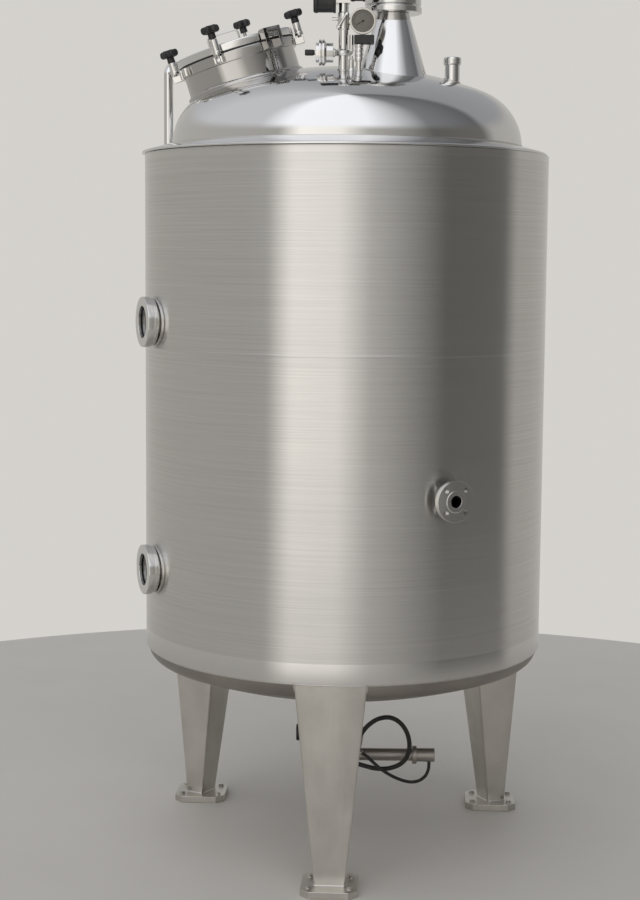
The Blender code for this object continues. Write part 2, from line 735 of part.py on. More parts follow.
def make_swing_bolts(manway):
    for number, (angle, reach) in enumerate(SWING_BOLTS, start=1):
        turn = radians(angle)
        place = polar(PIVOT_RADIUS, turn, -PIVOT_DROP)
        pivot = add_frame(f"swing_bolt_pivot_{number}", place, (0.0, 0.0, turn), manway)
        make_swing_bracket(number, pivot)
        make_swing_bolt(number, reach, pivot)
        make_bolt_knob(number, reach, pivot)


def jacket_trim(name):
    """A cylinder a gap larger than the jacket, which trims what stands on its side."""
    middle = Matrix.Translation((0, 0, (JACKET_BOTTOM + JACKET_TOP) / 2))
    return add_cylinder(name, JACKET_RADIUS + GAP, 2.0, middle, STEPS_LARGE, CUTTERS)


def make_sight_fitting(level, height):
    """Neck with its flange, clamped cover ring and glass, standing out of the jacket."""
    frame = add_frame(f"sight_frame_{level}", polar(SIGHT_FACE_RADIUS, SIGHT_AZIMUTH, height),
                      facing_out(SIGHT_AZIMUTH))
    low = -SIGHT_COVER_DEPTH
    seat = low + SIGHT_GLASS_THICKNESS
    neck = turn_profile(f"sight_neck_{level}",
                        [(SIGHT_FLANGE_RADIUS, low - GAP), (SIGHT_FLANGE_RADIUS, -SIGHT_FLANGE_DEPTH),
                         (SIGHT_NECK_RADIUS, -SIGHT_FLANGE_DEPTH), (SIGHT_NECK_RADIUS, -SIGHT_NECK_DEPTH),
                         (SIGHT_BORE_RADIUS, -SIGHT_NECK_DEPTH), (SIGHT_BORE_RADIUS, low - GAP)],
                        STEPS_MEDIUM, parent=frame)
    set_look(neck, polished())
    cut(neck, [jacket_trim(f"cut_sight_neck_{level}")])
    cover = turn_profile(f"sight_cover_{level}",
                         [(SIGHT_COVER_RADIUS, 0.0), (SIGHT_COVER_RADIUS, low), (SIGHT_GLASS_RADIUS, low),
                          (SIGHT_GLASS_RADIUS, seat), (SIGHT_BORE_RADIUS, seat), (SIGHT_BORE_RADIUS, 0.0)],
                         STEPS_MEDIUM, parent=frame)
    set_look(cover, polished())
    glass = turn_profile(f"sight_glass_{level}", disc_points(SIGHT_GLASS_RADIUS - GAP, low, seat - GAP),
                         STEPS_MEDIUM, closed=False, parent=frame)
    set_look(glass, dark_glass())


def make_front_flange(jacket):
    """Open flange on a short neck; its bore goes on through the jacket's wall."""
    frame = add_frame("front_flange_frame", polar(FLANGE_FACE_RADIUS, FLANGE_AZIMUTH, FLANGE_HEIGHT),
                      facing_out(FLANGE_AZIMUTH))
    face = -FLANGE_RAISED_HEIGHT
    back = face - FLANGE_THICKNESS
    profile = [(FLANGE_RAISED_RADIUS, 0.0), (FLANGE_RAISED_RADIUS, face), (FLANGE_RADIUS, face),
               (FLANGE_RADIUS, back), (FLANGE_NECK_RADIUS, back), (FLANGE_NECK_RADIUS, -FLANGE_NECK_DEPTH),
               (FLANGE_BORE, -FLANGE_NECK_DEPTH), (FLANGE_BORE, 0.0)]
    flange = turn_profile("front_flange", profile, STEPS_MEDIUM, parent=frame)
    set_look(flange, polished())
    holes = []
    for index in range(FLANGE_HOLES):
        turn = 2 * pi * (index + 0.5) / FLANGE_HOLES
        place = Matrix.Translation(polar(FLANGE_HOLE_CIRCLE, turn))
        holes.append(add_cylinder("cut_flange_hole", FLANGE_HOLE_RADIUS, 0.1, place, STEPS_SMALL, CUTTERS,
                                  frame))
    cut(flange, [jacket_trim("cut_front_flange")] + holes)
    through = 2 * FLANGE_NECK_DEPTH
    cut(jacket, [add_cylinder("cut_jacket_inlet", FLANGE_BORE, through, Matrix.Identity(4), STEPS_MEDIUM,
                              CUTTERS, frame)])


def make_riser(stand):
    """The upright tube on the top head, with the collar that clamps it and the bypass tube."""
    foot = top_head_z(sqrt(sum(value ** 2 for value in RISER_PLACE))) - 0.03
    outline = ring_points(RISER_RADIUS - RISER_WALL, RISER_RADIUS, foot, RISER_TOP)
    riser = turn_profile("riser_tube", outline, STEPS_SMALL, parent=stand)
    set_look(riser, polished())
    cut(riser, [top_head_solid("cut_riser_foot")])

    outline = ring_points(RISER_RADIUS + GAP, CLAMP_RADIUS, CLAMP_HEIGHT - CLAMP_HALF, CLAMP_HEIGHT + CLAMP_HALF)
    body = turn_profile("riser_clamp", outline, STEPS_SMALL, parent=stand)
    set_look(body, polished())
    inner = RISER_RADIUS + 0.005
    arms = []
    for name, start, end, radius in (("add_valve_arm", -CLAMP_ARM_REACH, -inner, CLAMP_ARM_RADIUS),
                                     ("add_bypass_arm", inner, BYPASS_REACH, BYPASS_RADIUS)):
        place = cross_place((start + end) / 2, CLAMP_HEIGHT)
        arms.append(add_cylinder(name, radius, end - start, place, STEPS_SMALL, CUTTERS, stand))
    middle = (CLAMP_HEIGHT + BYPASS_TOP) / 2
    arms.append(add_cylinder("add_bypass_tube", BYPASS_RADIUS, BYPASS_TOP - CLAMP_HEIGHT,
                             Matrix.Translation((BYPASS_REACH, 0.0, middle)), STEPS_SMALL, CUTTERS, stand))
    fuse(body, arms)


def make_side_valve(stand):
    """Small valve on the clamp's arm, its axis along -X, with a black knob."""
    place = (-CLAMP_ARM_REACH - GAP, 0.0, CLAMP_HEIGHT)
    valve = add_frame("side_valve_frame", place, (0.0, -pi / 2, 0.0), stand)
    low, high = SIDE_KNOB_DEPTHS
    stem = 0.7 * SIDE_KNOB_RADIUS
    ends = 0.75 * SIDE_VALVE_RADIUS
    body = [(0.0, low), (stem, low), (stem, SIDE_VALVE_DEPTH), (ends, SIDE_VALVE_DEPTH),
            (ends, 0.82 * SIDE_VALVE_DEPTH), (SIDE_VALVE_RADIUS, 0.82 * SIDE_VALVE_DEPTH),
            (SIDE_VALVE_RADIUS, 0.5 * SIDE_VALVE_DEPTH), (ends, 0.4 * SIDE_VALVE_DEPTH), (ends, 0.0), (0.0, 0.0)]
    set_look(turn_profile("side_valve", body, STEPS_MEDIUM, closed=False, parent=valve), polished())
    outline = disc_points(SIDE_KNOB_RADIUS, low + GAP, high)
    knob = turn_profile("side_valve_knob", outline, STEPS_SMALL, closed=False, parent=valve)
    set_look(knob, black_plastic())


def make_dial(stand):
    """Cross on the riser and the round dial on its arm, facing the front."""
    outline = ring_points(RISER_RADIUS + GAP, CROSS_RADIUS, CROSS_HEIGHT - CROSS_HALF, CROSS_HEIGHT + CROSS_HALF)
    cross = turn_profile("riser_cross", outline, STEPS_SMALL, parent=stand)
    set_look(cross, polished())
    start = RISER_RADIUS + 0.0015
    place = cross_place((start + CROSS_ARM_REACH) / 2, CROSS_HEIGHT)
    length = CROSS_ARM_REACH - start
    arm = add_cylinder("add_cross_arm", CROSS_ARM_RADIUS, length, place, STEPS_SMALL, CUTTERS, stand)
    fuse(cross, [arm])

    frame = add_frame("dial_frame", (DIAL_REACH, 0.0, CROSS_HEIGHT), (pi / 2, 0.0, 0.0), stand)
    face = DIAL_HALF - DIAL_RECESS
    dial = turn_profile("round_dial",
                        [(0.0, face), (DIAL_FACE_RADIUS, face), (DIAL_FACE_RADIUS, DIAL_HALF),
                         (DIAL_RADIUS, DIAL_HALF), (DIAL_RADIUS, -DIAL_HALF), (0.0, -DIAL_HALF)],
                        STEPS_MEDIUM, closed=False, parent=frame)
    set_look(dial, polished())
    cut(dial, [add_cylinder("cut_dial_arm", CROSS_ARM_RADIUS + GAP, length + 2 * GAP, place, STEPS_SMALL,
                            CUTTERS, stand)])


def make_actuator(stand):
    """Black actuator halves on both sides of the riser, on the block that holds them."""
    for name, start, end, radius, height in ACTUATORS:
        place = cross_place((start + end) / 2, height)
        half = add_cylinder(name, radius, end - start, place, STEPS_MEDIUM, parent=stand)
        set_look(half, black_plastic())
    left = ACTUATORS[0][2] + GAP
    right = ACTUATORS[1][1] - GAP
    width, height, centre = ACTUATOR_BLOCK
    block = add_box("actuator_block", (right - left, width, height), ((left + right) / 2, 0.0, centre),
                    parent=stand)
    set_look(block, polished())
    place = Matrix.Translation((0.0, 0.0, centre))
    cut(block, [add_cylinder("cut_actuator_riser", RISER_RADIUS + GAP, 0.3, place, STEPS_SMALL, CUTTERS,
                             stand)])


def make_ribbed_nozzle():
    """Short nozzle with turned ribs and a black head, right of the riser."""
    place = (*RIBBED_PLACE, 0.0)
    foot = top_head_z(sqrt(sum(value ** 2 for value in RIBBED_PLACE))) - 0.02
    pitch = (RIBBED_HIGH - RIBBED_LOW) / RIBBED_RIBS
    groove = 0.25 * pitch
    points = [(0.0, foot), (RIBBED_NECK_RADIUS, foot), (RIBBED_NECK_RADIUS, RIBBED_LOW)]
    for index in range(RIBBED_RIBS):
        low = RIBBED_LOW + pitch * index
        points += [(RIBBED_RADIUS, low + groove / 2), (RIBBED_RADIUS, low + pitch - groove / 2)]
        if index < RIBBED_RIBS - 1:
            points.append((RIBBED_RADIUS - RIBBED_GROOVE, low + pitch))
    points.append((0.0, points[-1][1]))
    points.reverse()
    nozzle = turn_profile("ribbed_nozzle", points, STEPS_SMALL, closed=False)
    nozzle.location = place
    set_look(nozzle, polished())
    cut(nozzle, [top_head_solid("cut_ribbed_foot")])
    base = points[0][1] + GAP
    centre = (RIBBED_HEAD_OFFSET, 0.0, base + RIBBED_HEAD_SIZE[2] / 2)
    head = add_box("ribbed_nozzle_head", RIBBED_HEAD_SIZE, centre)
    head.location = place
    set_look(head, black_plastic())


def make_cone():
    """Stirrer mount: a plain cone that stands on the head, and a drive flange."""
    place = (*CONE_PLACE, 0.0)
    foot = top_head_z(sqrt(sum(value ** 2 for value in CONE_PLACE)))
    slope = (CONE_FOOT_RADIUS - CONE_TOP_RADIUS) / (CONE_TOP - foot)
    below = 0.04
    outer = CONE_FOOT_RADIUS + slope * below
    cone = turn_profile("stirrer_cone", [(CONE_TOP_RADIUS, CONE_TOP), (outer, foot - below),
                                         (outer - CONE_WALL, foot - below),
                                         (CONE_TOP_RADIUS - CONE_WALL, CONE_TOP)], STEPS_MEDIUM)
    cone.location = place
    set_look(cone, polished())
    cut(cone, [top_head_solid("cut_cone_foot")])
    base = CONE_TOP + GAP
    first, second, top = (base + step for step in DRIVE_STEPS)
    drive = turn_profile("drive_flange", [(DRIVE_UPPER_RADIUS, top), (DRIVE_UPPER_RADIUS, second),
                                          (DRIVE_GROOVE_RADIUS, second), (DRIVE_GROOVE_RADIUS, first),
                                          (DRIVE_RADIUS, first), (DRIVE_RADIUS, base),
                                          (DRIVE_BORE, base), (DRIVE_BORE, top)], STEPS_MEDIUM)
    drive.location = place
    set_look(drive, polished())


def make_vent_nozzle():
    place = (*VENT_PLACE, 0.0)
    foot = top_head_z(sqrt(sum(value ** 2 for value in VENT_PLACE)))
    bore = VENT_RADIUS - VENT_WALL
    shoulder = foot + VENT_HEIGHT
    nozzle = turn_profile("vent_nozzle", ring_points(bore, VENT_RADIUS, foot - 0.03, shoulder), STEPS_SMALL)
    nozzle.location = place
    set_look(nozzle, polished())
    cut(nozzle, [top_head_solid("cut_vent_foot")])
    low = shoulder + GAP
    high = low + UNION_HEIGHT
    ends = UNION_RADIUS - 0.002
    union = turn_profile("vent_union", [(ends, high), (UNION_RADIUS, high - UNION_CHAMFER),
                                        (UNION_RADIUS, low + UNION_CHAMFER), (ends, low), (bore, low),
                                        (bore, high)], STEPS_SMALL)
    union.location = place
    set_look(union, polished())


def make_gooseneck():
    """Jacket vent: up from the closing ring and over in a tight half turn."""
    x, y = GOOSENECK_PLACE
    points = [(x, y, JACKET_TOP), (x, y, GOOSENECK_RISE)]
    bends = 12
    for index in range(1, bends + 1):
        turn = pi * index / bends
        over = polar(GOOSENECK_BEND * (1 - cos(turn)), GOOSENECK_HEADING)
        points.append((x + over.x, y + over.y, GOOSENECK_RISE + GOOSENECK_BEND * sin(turn)))
    points.append((points[-1][0], points[-1][1], points[-1][2] - GOOSENECK_END))
    tube = to_mesh(add_tube("jacket_vent_gooseneck", points, GOOSENECK_RADIUS, sides=4))
    set_look(tube, polished())
    slope = RING_RISE / (JACKET_RADIUS - VESSEL_RADIUS)
    reach = 0.01
    inner = VESSEL_RADIUS - 0.05
    edge = JACKET_TOP + RING_EDGE + 2 * GAP
    top = edge + slope * (JACKET_RADIUS - inner)
    below = JACKET_TOP - 0.1
    profile = [(0.0, top), (inner, top), (JACKET_RADIUS + reach, edge - slope * reach),
               (JACKET_RADIUS + reach, below), (0.0, below)]
    cut(tube, [turn_profile("cut_gooseneck", profile, STEPS_LARGE, closed=False, collection=CUTTERS)])


def make_outlet_pipe():
    """Pipe through both bottoms, with a ferrule at its lower end."""
    dish = dish_height(VESSEL_RADIUS, VESSEL_BOTTOM_CROWN, VESSEL_BOTTOM_KNUCKLE, OUTLET_RADIUS)
    high = VESSEL_BOTTOM - dish - 0.002
    outer = OUTLET_RADIUS - 0.002
    inner = outer - OUTLET_WALL
    pipe = turn_profile("outlet_pipe", [(outer, high), (outer, OUTLET_END + 0.012),
                                        (OUTLET_FERRULE_RADIUS, OUTLET_END + 0.010),
                                        (OUTLET_FERRULE_RADIUS, OUTLET_END), (inner, OUTLET_END),
                                        (inner, high)], STEPS_MEDIUM)
    set_look(pipe, polished())


def gland(name, start, next_point, radius):
    """Cylinder that holds a hose's end, a gap before the hose starts."""
    heading = (Vector(next_point) - Vector(start)).normalized()
    middle = Vector(start) - heading * (GLAND_LENGTH / 2 + GAP)
    place = Matrix.Translation(middle) @ heading.to_track_quat("Z", "Y").to_matrix().to_4x4()
    return add_cylinder(name, radius + GLAND_GROW, GLAND_LENGTH, place, STEPS_SMALL, CUTTERS)


def make_outlet_valve():
    """Valve body with its side branch, cap, glands and the black sensor on its left."""
    top = OUTLET_END - GAP
    valve = turn_profile("outlet_valve", [(0.0, top), (OUTLET_FERRULE_RADIUS, top),
                                          (OUTLET_FERRULE_RADIUS, top - 0.010), (0.046, top - 0.014),
                                          (0.064, top - 0.040), (0.070, top - 0.085), (0.064, top - 0.130),
                                          (0.040, top - 0.165), (0.040, top - 0.185), (0.0, top - 0.185)],
                         STEPS_MEDIUM, closed=False)
    set_look(valve, polished())
    pieces = [add_cylinder("add_outlet_branch", BRANCH_RADIUS, BRANCH_END,
                           cross_place(BRANCH_END / 2, BRANCH_HEIGHT), STEPS_SMALL, CUTTERS)]
    steps = (("add_branch_ferrule", BRANCH_FERRULE), ("add_branch_cap", BRANCH_CAP))
    for name, (radius, start, end) in steps:
        pieces.append(add_cylinder(name, radius, end - start, cross_place((start + end) / 2, BRANCH_HEIGHT),
                                   STEPS_SMALL, CUTTERS))
    pieces.append(gland("add_hose_gland", HOSE_ROUTE[0], HOSE_ROUTE[1], HOSE_RADIUS))
    pieces.append(gland("add_hose_end", HOSE_ROUTE[-1], HOSE_ROUTE[-2], HOSE_RADIUS))
    pieces.append(gland("add_cable_gland", CABLE_ROUTE[0], CABLE_ROUTE[1], CABLE_RADIUS))
    fuse(valve, pieces)
    place = cross_place(sum(SENSOR_REACH) / 2, SENSOR_HEIGHT)
    sensor = add_cylinder("valve_sensor", SENSOR_RADIUS, SENSOR_REACH[1] - SENSOR_REACH[0] - 2 * GAP, place,
                          STEPS_SMALL)
    set_look(sensor, black_plastic())


def smooth_route(points, between=2):
    """Points along the smooth (Catmull-Rom) curve through a route."""
    ends = [2 * Vector(points[0]) - Vector(points[1])] + [Vector(point) for point in points]
    ends.append(2 * Vector(points[-1]) - Vector(points[-2]))
    route = []
    for index in range(1, len(ends) - 2):
        before, start, end, after = ends[index - 1:index + 3]
        for step in range(between):
            t = step / between
            square = 2 * before - 5 * start + 4 * end - after
            cube = 3 * start - before - 3 * end + after
            route.append(0.5 * (2 * start + (end - before) * t + square * t ** 2 + cube * t ** 3))
    route.append(ends[-2])
    return route


def make_hoses():
    hoses = (("black_hose", HOSE_ROUTE, HOSE_RADIUS), ("black_cable", CABLE_ROUTE, CABLE_RADIUS))
    for name, route, radius in hoses:
        hose = add_tube(name, smooth_route(route), radius, sides=2)
        set_look(hose, black_rubber())


def centre_footprint():
    """Move the tank's axis so that the box round all parts is centred on the origin."""
    bpy.context.view_layer.update()
    graph = bpy.context.evaluated_depsgraph_get()
    corners = []
    for item in PARTS.objects:
        if item.type != "EMPTY":
            shape = item.evaluated_get(graph)
            corners += [shape.matrix_world @ vertex.co for vertex in shape.to_mesh().vertices]
            shape.to_mesh_clear()
    low = Vector(min(corner[axis] for corner in corners) for axis in range(2))
    high = Vector(max(corner[axis] for corner in corners) for axis in range(2))
    middle = (low + high) / 2
    TANK_AXIS.location = (-middle.x, -middle.y, 0.0)


def build():
    jacket = make_jacket()
    make_vessel()
    make_bottom_head()
    for side, azimuth in LEG_AZIMUTHS.items():
        make_leg(side, azimuth)
        make_foot_plate(side, azimuth)
    manway = make_manway_frame()
    make_top_head(manway)
    make_collar(manway)
    make_lid(manway)
    make_lid_hinge(manway)
    make_swing_bolts(manway)
    for level, height in SIGHT_HEIGHTS.items():
        make_sight_fitting(level, height)
    make_front_flange(jacket)
    stand = add_frame("riser_frame", (*RISER_PLACE, 0.0))
    make_riser(stand)
    make_side_valve(stand)
    make_dial(stand)
    make_actuator(stand)
    make_ribbed_nozzle()
    make_cone()
    make_vent_nozzle()
    make_gooseneck()
    make_outlet_pipe()
    make_outlet_valve()
    make_hoses()
    centre_footprint()


build()
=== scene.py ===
"""Jacketed process tank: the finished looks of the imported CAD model.

Metres, +Z up. Every shape is worked out with numpy as rows and columns of points, in the
tank's own axes, and is put in its place before it goes into a mesh.
"""

from math import asin, cos, pi, radians, sin, sqrt

import bmesh
import bpy
import numpy as np
from mathutils import Matrix, Vector


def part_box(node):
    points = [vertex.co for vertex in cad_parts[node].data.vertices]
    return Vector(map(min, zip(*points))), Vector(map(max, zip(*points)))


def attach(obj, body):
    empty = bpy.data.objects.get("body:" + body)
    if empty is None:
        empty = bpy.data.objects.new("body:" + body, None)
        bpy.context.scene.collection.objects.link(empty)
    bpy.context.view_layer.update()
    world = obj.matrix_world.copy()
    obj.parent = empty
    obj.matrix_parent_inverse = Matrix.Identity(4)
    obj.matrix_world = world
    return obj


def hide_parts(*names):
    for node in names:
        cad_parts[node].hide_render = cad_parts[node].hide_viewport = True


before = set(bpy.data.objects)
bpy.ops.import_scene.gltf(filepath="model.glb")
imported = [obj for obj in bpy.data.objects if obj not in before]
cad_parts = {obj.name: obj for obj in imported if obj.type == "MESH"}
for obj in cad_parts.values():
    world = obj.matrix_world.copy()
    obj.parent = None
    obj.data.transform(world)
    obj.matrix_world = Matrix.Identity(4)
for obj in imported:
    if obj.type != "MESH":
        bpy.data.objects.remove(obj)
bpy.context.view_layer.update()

# The tank's axis, read from the jacket
JACKET_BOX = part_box("jacket_shell")
AXIS = Vector(((JACKET_BOX[0][0] + JACKET_BOX[1][0]) / 2, (JACKET_BOX[0][1] + JACKET_BOX[1][1]) / 2, 0.0))
TANK = Matrix.Translation(AXIS)
GAP = 0.0003
Y_AXIS = (0.0, 1.0, 0.0)
Z_AXIS = (0.0, 0.0, 1.0)
MERGE = 0.000005
SHARP_ANGLE = 32.0

# How far a turned piece's corners are eased
FINE_EDGE = 0.0008
EDGE = 0.001
SOFT_EDGE = 0.0012
ROUND_EDGE = 0.0015
WIDE_EDGE = 0.0022

# Jacket and closing ring
JACKET_RADIUS = 0.600
JACKET_WALL = 0.006
JACKET_BOTTOM = 0.599
JACKET_TOP = 2.064
BAND_BOTTOM = 0.657
BAND_TOP = 2.0425
SEAM_HEIGHT = 1.500
SEAM_HALF = 0.0045
SEAM_RISE = 0.0006
RING_EDGE = 0.006
RING_RISE = 0.022
RIM_BEAD = 0.0022
RIM_STEPS = 256

# Heads
VESSEL_RADIUS = 0.520
VESSEL_WALL = 0.005
VESSEL_TOP = 2.084
HEAD_SKIRT = 0.006
HEAD_CROWN = 1.150
HEAD_KNUCKLE = 0.170
BOTTOM_HEAD_CROWN = 1.600
BOTTOM_HEAD_KNUCKLE = 0.050
BOTTOM_HEAD_WALL = 0.006
BOTTOM_HEAD_SKIRT = 0.020
BOTTOM_HEAD_RADIUS = JACKET_RADIUS - JACKET_WALL - GAP
BOTTOM_BEAD = 0.0035
VESSEL_BOTTOM = 0.735
VESSEL_BOTTOM_CROWN = 1.300
VESSEL_BOTTOM_KNUCKLE = 0.080

# Legs and foot plates; a section is its outer reach, outside width, inside width and depth
LEG_AZIMUTHS = {"front": radians(-93.0), "right": radians(27.0), "left": radians(147.0)}
LEG_TOP = (0.597, 0.205, 0.130, 0.158)
LEG_FOOT = (0.573, 0.089, 0.072, 0.056)
LEG_CORNER = 0.006
LEG_FACE_POINTS = 9
LEG_BEAD = 0.0030
FOOT_PLATE_SIZE = 0.160
FOOT_PLATE_CHAMFER = 0.024
FOOT_PLATE_THICKNESS = 0.020
FOOT_BOLTS = (0.045, 0.058)
FOOT_WASHER = (0.0105, 0.0020)
FOOT_BOLT_HEAD = (0.0085, 0.0010, 0.0075)

# Manway; a swing bolt is its angle and the height of its knob, a lug its angle, radius, low and high side
MANWAY_SEAM = (-0.327, -0.040, 2.358)
MANWAY_AZIMUTH = radians(187.0)
MANWAY_TILT = radians(17.5)
MANWAY = (TANK @ Matrix.Translation(MANWAY_SEAM) @ Matrix.Rotation(MANWAY_AZIMUTH - pi, 4, "Z")
          @ Matrix.Rotation(-MANWAY_TILT, 4, "Y"))
COLLAR_RADIUS = 0.1675
COLLAR_WALL = 0.006
COLLAR_LENGTH = 0.150
COLLAR_FLANGE_RADIUS = 0.176
COLLAR_FLANGE_THICKNESS = 0.028
COLLAR_BEAD = 0.0095
COLLAR_LUGS = ((-153.0, 0.0115, -0.027, -0.003), (-166.0, 0.0070, -0.030, -0.002))
GASKET_THICKNESS = 0.004
LID_RADIUS = 0.177
LID_THICKNESS = 0.022
LID_RISE = 0.010
LID_CROWN_RADIUS = 0.150
LID_HANDLE_CENTRE = -0.024
LID_HANDLE_HALF_SPAN = 0.046
LID_HANDLE_HEIGHT = 0.034
LID_HANDLE_RADIUS = 0.003
LID_HANDLE_TURN = 0.012
LID_HANDLE_FOOT = 0.0055
SWING_BOLTS = ((-111.0, 0.062), (-8.0, 0.054), (72.5, 0.090), (168.0, 0.052))
PIVOT_RADIUS = 0.193
PIVOT_DROP = 0.018
EYE_RADIUS = 0.0095
EYE_BORE = 0.0047
EYE_HALF_WIDTH = 0.006
STUD_RADIUS = 0.006
STUD_PITCH = 0.0018
STUD_THREAD = 0.0007
SLEEVE_RADIUS = 0.0125
SLEEVE_START = 0.016
SLEEVE_END = 0.060
KNOB_HUB_RADIUS = 0.0115
KNOB_HUB_HEIGHT = 0.016
KNOB_HEAD_HEIGHT = 0.021
KNOB_RADIUS = 0.0275
KNOB_LOBE = 0.003
KNOB_LOBES = 6

# Sight fittings
SIGHT_AZIMUTH = radians(201.5)
SIGHT_HEIGHTS = {"upper": 1.575, "lower": 0.849}
SIGHT_FACE_RADIUS = 0.632
SIGHT_COVER_RADIUS = 0.073
SIGHT_COVER_DEPTH = 0.020
SIGHT_FLANGE_RADIUS = 0.069
SIGHT_FLANGE_DEPTH = 0.032
SIGHT_NECK_RADIUS = 0.058
SIGHT_BORE_RADIUS = 0.046
SIGHT_GLASS_RADIUS = 0.050
SIGHT_GLASS_THICKNESS = 0.010
SIGHT_NECK_END = -0.060
SIGHT_BEAD = 0.003

# Front flange
FLANGE_AZIMUTH = radians(-61.4)
FLANGE_HEIGHT = 1.105
FLANGE_FACE_RADIUS = 0.6435
FLANGE_RADIUS = 0.0575
FLANGE_THICKNESS = 0.016
FLANGE_RAISED_RADIUS = 0.030
FLANGE_RAISED_HEIGHT = 0.002
FLANGE_NECK_RADIUS = 0.024
FLANGE_BORE = 0.017
FLANGE_HOLE_CIRCLE = 0.0425
FLANGE_HOLE_RADIUS = 0.007
FLANGE_HOLES = 4
FLANGE_NECK_END = -0.060
FITTING_BEAD = 0.0028

# Riser group
RISER_PLACE = (-0.012, -0.280)
STAND = TANK @ Matrix.Translation((*RISER_PLACE, 0.0))
RISER_RADIUS = 0.0135
RISER_WALL = 0.002
RISER_TOP = 2.540
CLAMP_HEIGHT = 2.337
CLAMP_RADIUS = 0.024
CLAMP_HALF = 0.009
CLAMP_ARM_RADIUS = 0.009
CLAMP_ARM_REACH = 0.028
BYPASS_RADIUS = 0.006
BYPASS_REACH = 0.0225
BYPASS_TOP = 2.386
BYPASS_FOOT = (0.005, 0.0075, 0.0095)
SIDE_VALVE_RADIUS = 0.036
SIDE_VALVE_DEPTH = 0.049
SIDE_KNOB_RADIUS = 0.0085
SIDE_KNOB_DEPTHS = (0.052, 0.080)
SIDE_VALVE_GROOVE = 0.002
CROSS_HEIGHT = 2.4235
CROSS_RADIUS = 0.0165
CROSS_HALF = 0.025
CROSS_ARM_RADIUS = 0.010
CROSS_ARM_REACH = 0.030
DIAL_REACH = 0.054
DIAL_RADIUS = 0.037
DIAL_FACE_RADIUS = 0.031
DIAL_HALF = 0.014
DIAL_RECESS = 0.004
DIAL_TICKS = 31
DIAL_TICK = (0.0007, 0.0035, 0.0003)
DIAL_TICK_REACH = 0.0245
DIAL_SWEEP = radians(135.0)
DIAL_POINTER = (0.0014, 0.026, 0.0004)
DIAL_READING = radians(120.0)
LEVER_HEIGHT = 2.430
CLAMP_BOLT_LEAN = radians(32.0)
ACTUATOR_GROOVE = 0.0015
ACTUATORS = (("actuator_left", -0.085, -0.022, 0.032, 2.478),
             ("actuator_right", 0.018, 0.060, 0.020, 2.498))

# Ribbed nozzle, stirrer cone, vent nozzle and gooseneck
RIBBED_PLACE = (0.032, -0.285)
RIBBED_NECK_RADIUS = 0.009
RIBBED_RADIUS = 0.0125
RIBBED_LOW = 2.312
RIBBED_HIGH = 2.362
RIBBED_RIBS = 4
RIBBED_GROOVE = 0.0015
RIBBED_BEAD = 0.0022
CONE_PLACE = (0.128, -0.205)
CONE_FOOT_RADIUS = 0.093
CONE_FOOT_BORE = 0.030
CONE_TOP_RADIUS = 0.046
CONE_TOP = 2.455
CONE_WALL = 0.005
CONE_BEAD = 0.0030
DRIVE_RADIUS = 0.082
DRIVE_UPPER_RADIUS = 0.080
DRIVE_GROOVE_RADIUS = 0.070
DRIVE_BORE = 0.022
DRIVE_STEPS = (0.016, 0.021, 0.046)
VENT_PLACE = (0.303, -0.140)
VENT_RADIUS = 0.0215
VENT_WALL = 0.003
VENT_HEIGHT = 0.044
UNION_RADIUS = 0.0255
UNION_HEIGHT = 0.022
UNION_CHAMFER = 0.004
GOOSENECK_PLACE = (-0.545, 0.120)
GOOSENECK_HEADING = radians(50.0)
GOOSENECK_RADIUS = 0.014
GOOSENECK_RISE = 2.312
GOOSENECK_BEND = 0.030
GOOSENECK_END = 0.012
GOOSENECK_BEAD = 0.0026

# Bottom outlet
OUTLET_RADIUS = 0.045
OUTLET_WALL = 0.004
OUTLET_END = 0.385
OUTLET_FERRULE_RADIUS = 0.058
VALVE_STEPS = ((0.058, 0.000), (0.058, 0.008), (0.046, 0.014), (0.064, 0.040), (0.070, 0.085), (0.064, 0.130),
               (0.040, 0.165), (0.040, 0.185))
VALVE_EASE = (0.0, 0.002, 0.002, 0.004, 0.018, 0.022, 0.018, 0.004, 0.003, 0.0)
BRANCH_HEIGHT = 0.232
BRANCH_RADIUS = 0.019
BRANCH_END = 0.226
BRANCH_FERRULE = (0.028, 0.220, 0.234)
BRANCH_CAP = (0.021, 0.230, 0.290)
SENSOR_REACH = (-0.140, -0.070)
SENSOR_RADIUS = 0.026
SENSOR_HEIGHT = 0.300

# The two black hoses, by the same route points as the CAD
HOSES = {
    "black_hose": (0.007, (
        (0.0503, -0.0724, 0.2945), (0.062, -0.089, 0.3225), (0.082, -0.103, 0.352), (0.112, -0.110, 0.374),
        (0.147, -0.107, 0.378), (0.178, -0.097, 0.360), (0.200, -0.084, 0.326), (0.209, -0.070, 0.285),
        (0.204, -0.058, 0.246), (0.184, -0.048, 0.217), (0.150, -0.040, 0.200), (0.112, -0.033, 0.196),
        (0.078, -0.026, 0.201), (0.054, -0.0195, 0.206), (0.0455, -0.017, 0.2075))),
    "black_cable": (0.005, (
        (0.066, -0.0555, 0.250), (0.078, -0.065, 0.2445), (0.094, -0.073, 0.232), (0.114, -0.077, 0.215),
        (0.137, -0.077, 0.198), (0.163, -0.072, 0.182), (0.191, -0.061, 0.168), (0.219, -0.046, 0.159),
        (0.243, -0.029, 0.159), (0.262, -0.013, 0.169), (0.271, -0.003, 0.185), (0.273, 0.0, 0.200),
        (0.273, 0.0, 0.2107))),
}
GLAND_LENGTH = 0.034
GLAND_GROW = 0.003

# Camera, fitted to the photograph: its place from the tank's axis, and how it is turned
CAMERA_PLACE = Vector((0.0, -5.2422, 1.7651))
CAMERA_YAW = -0.0139
CAMERA_DOWN = 0.1109
CAMERA_ROLL = 0.0078
FILM_SIDE = 36.0
LENS = 69.24


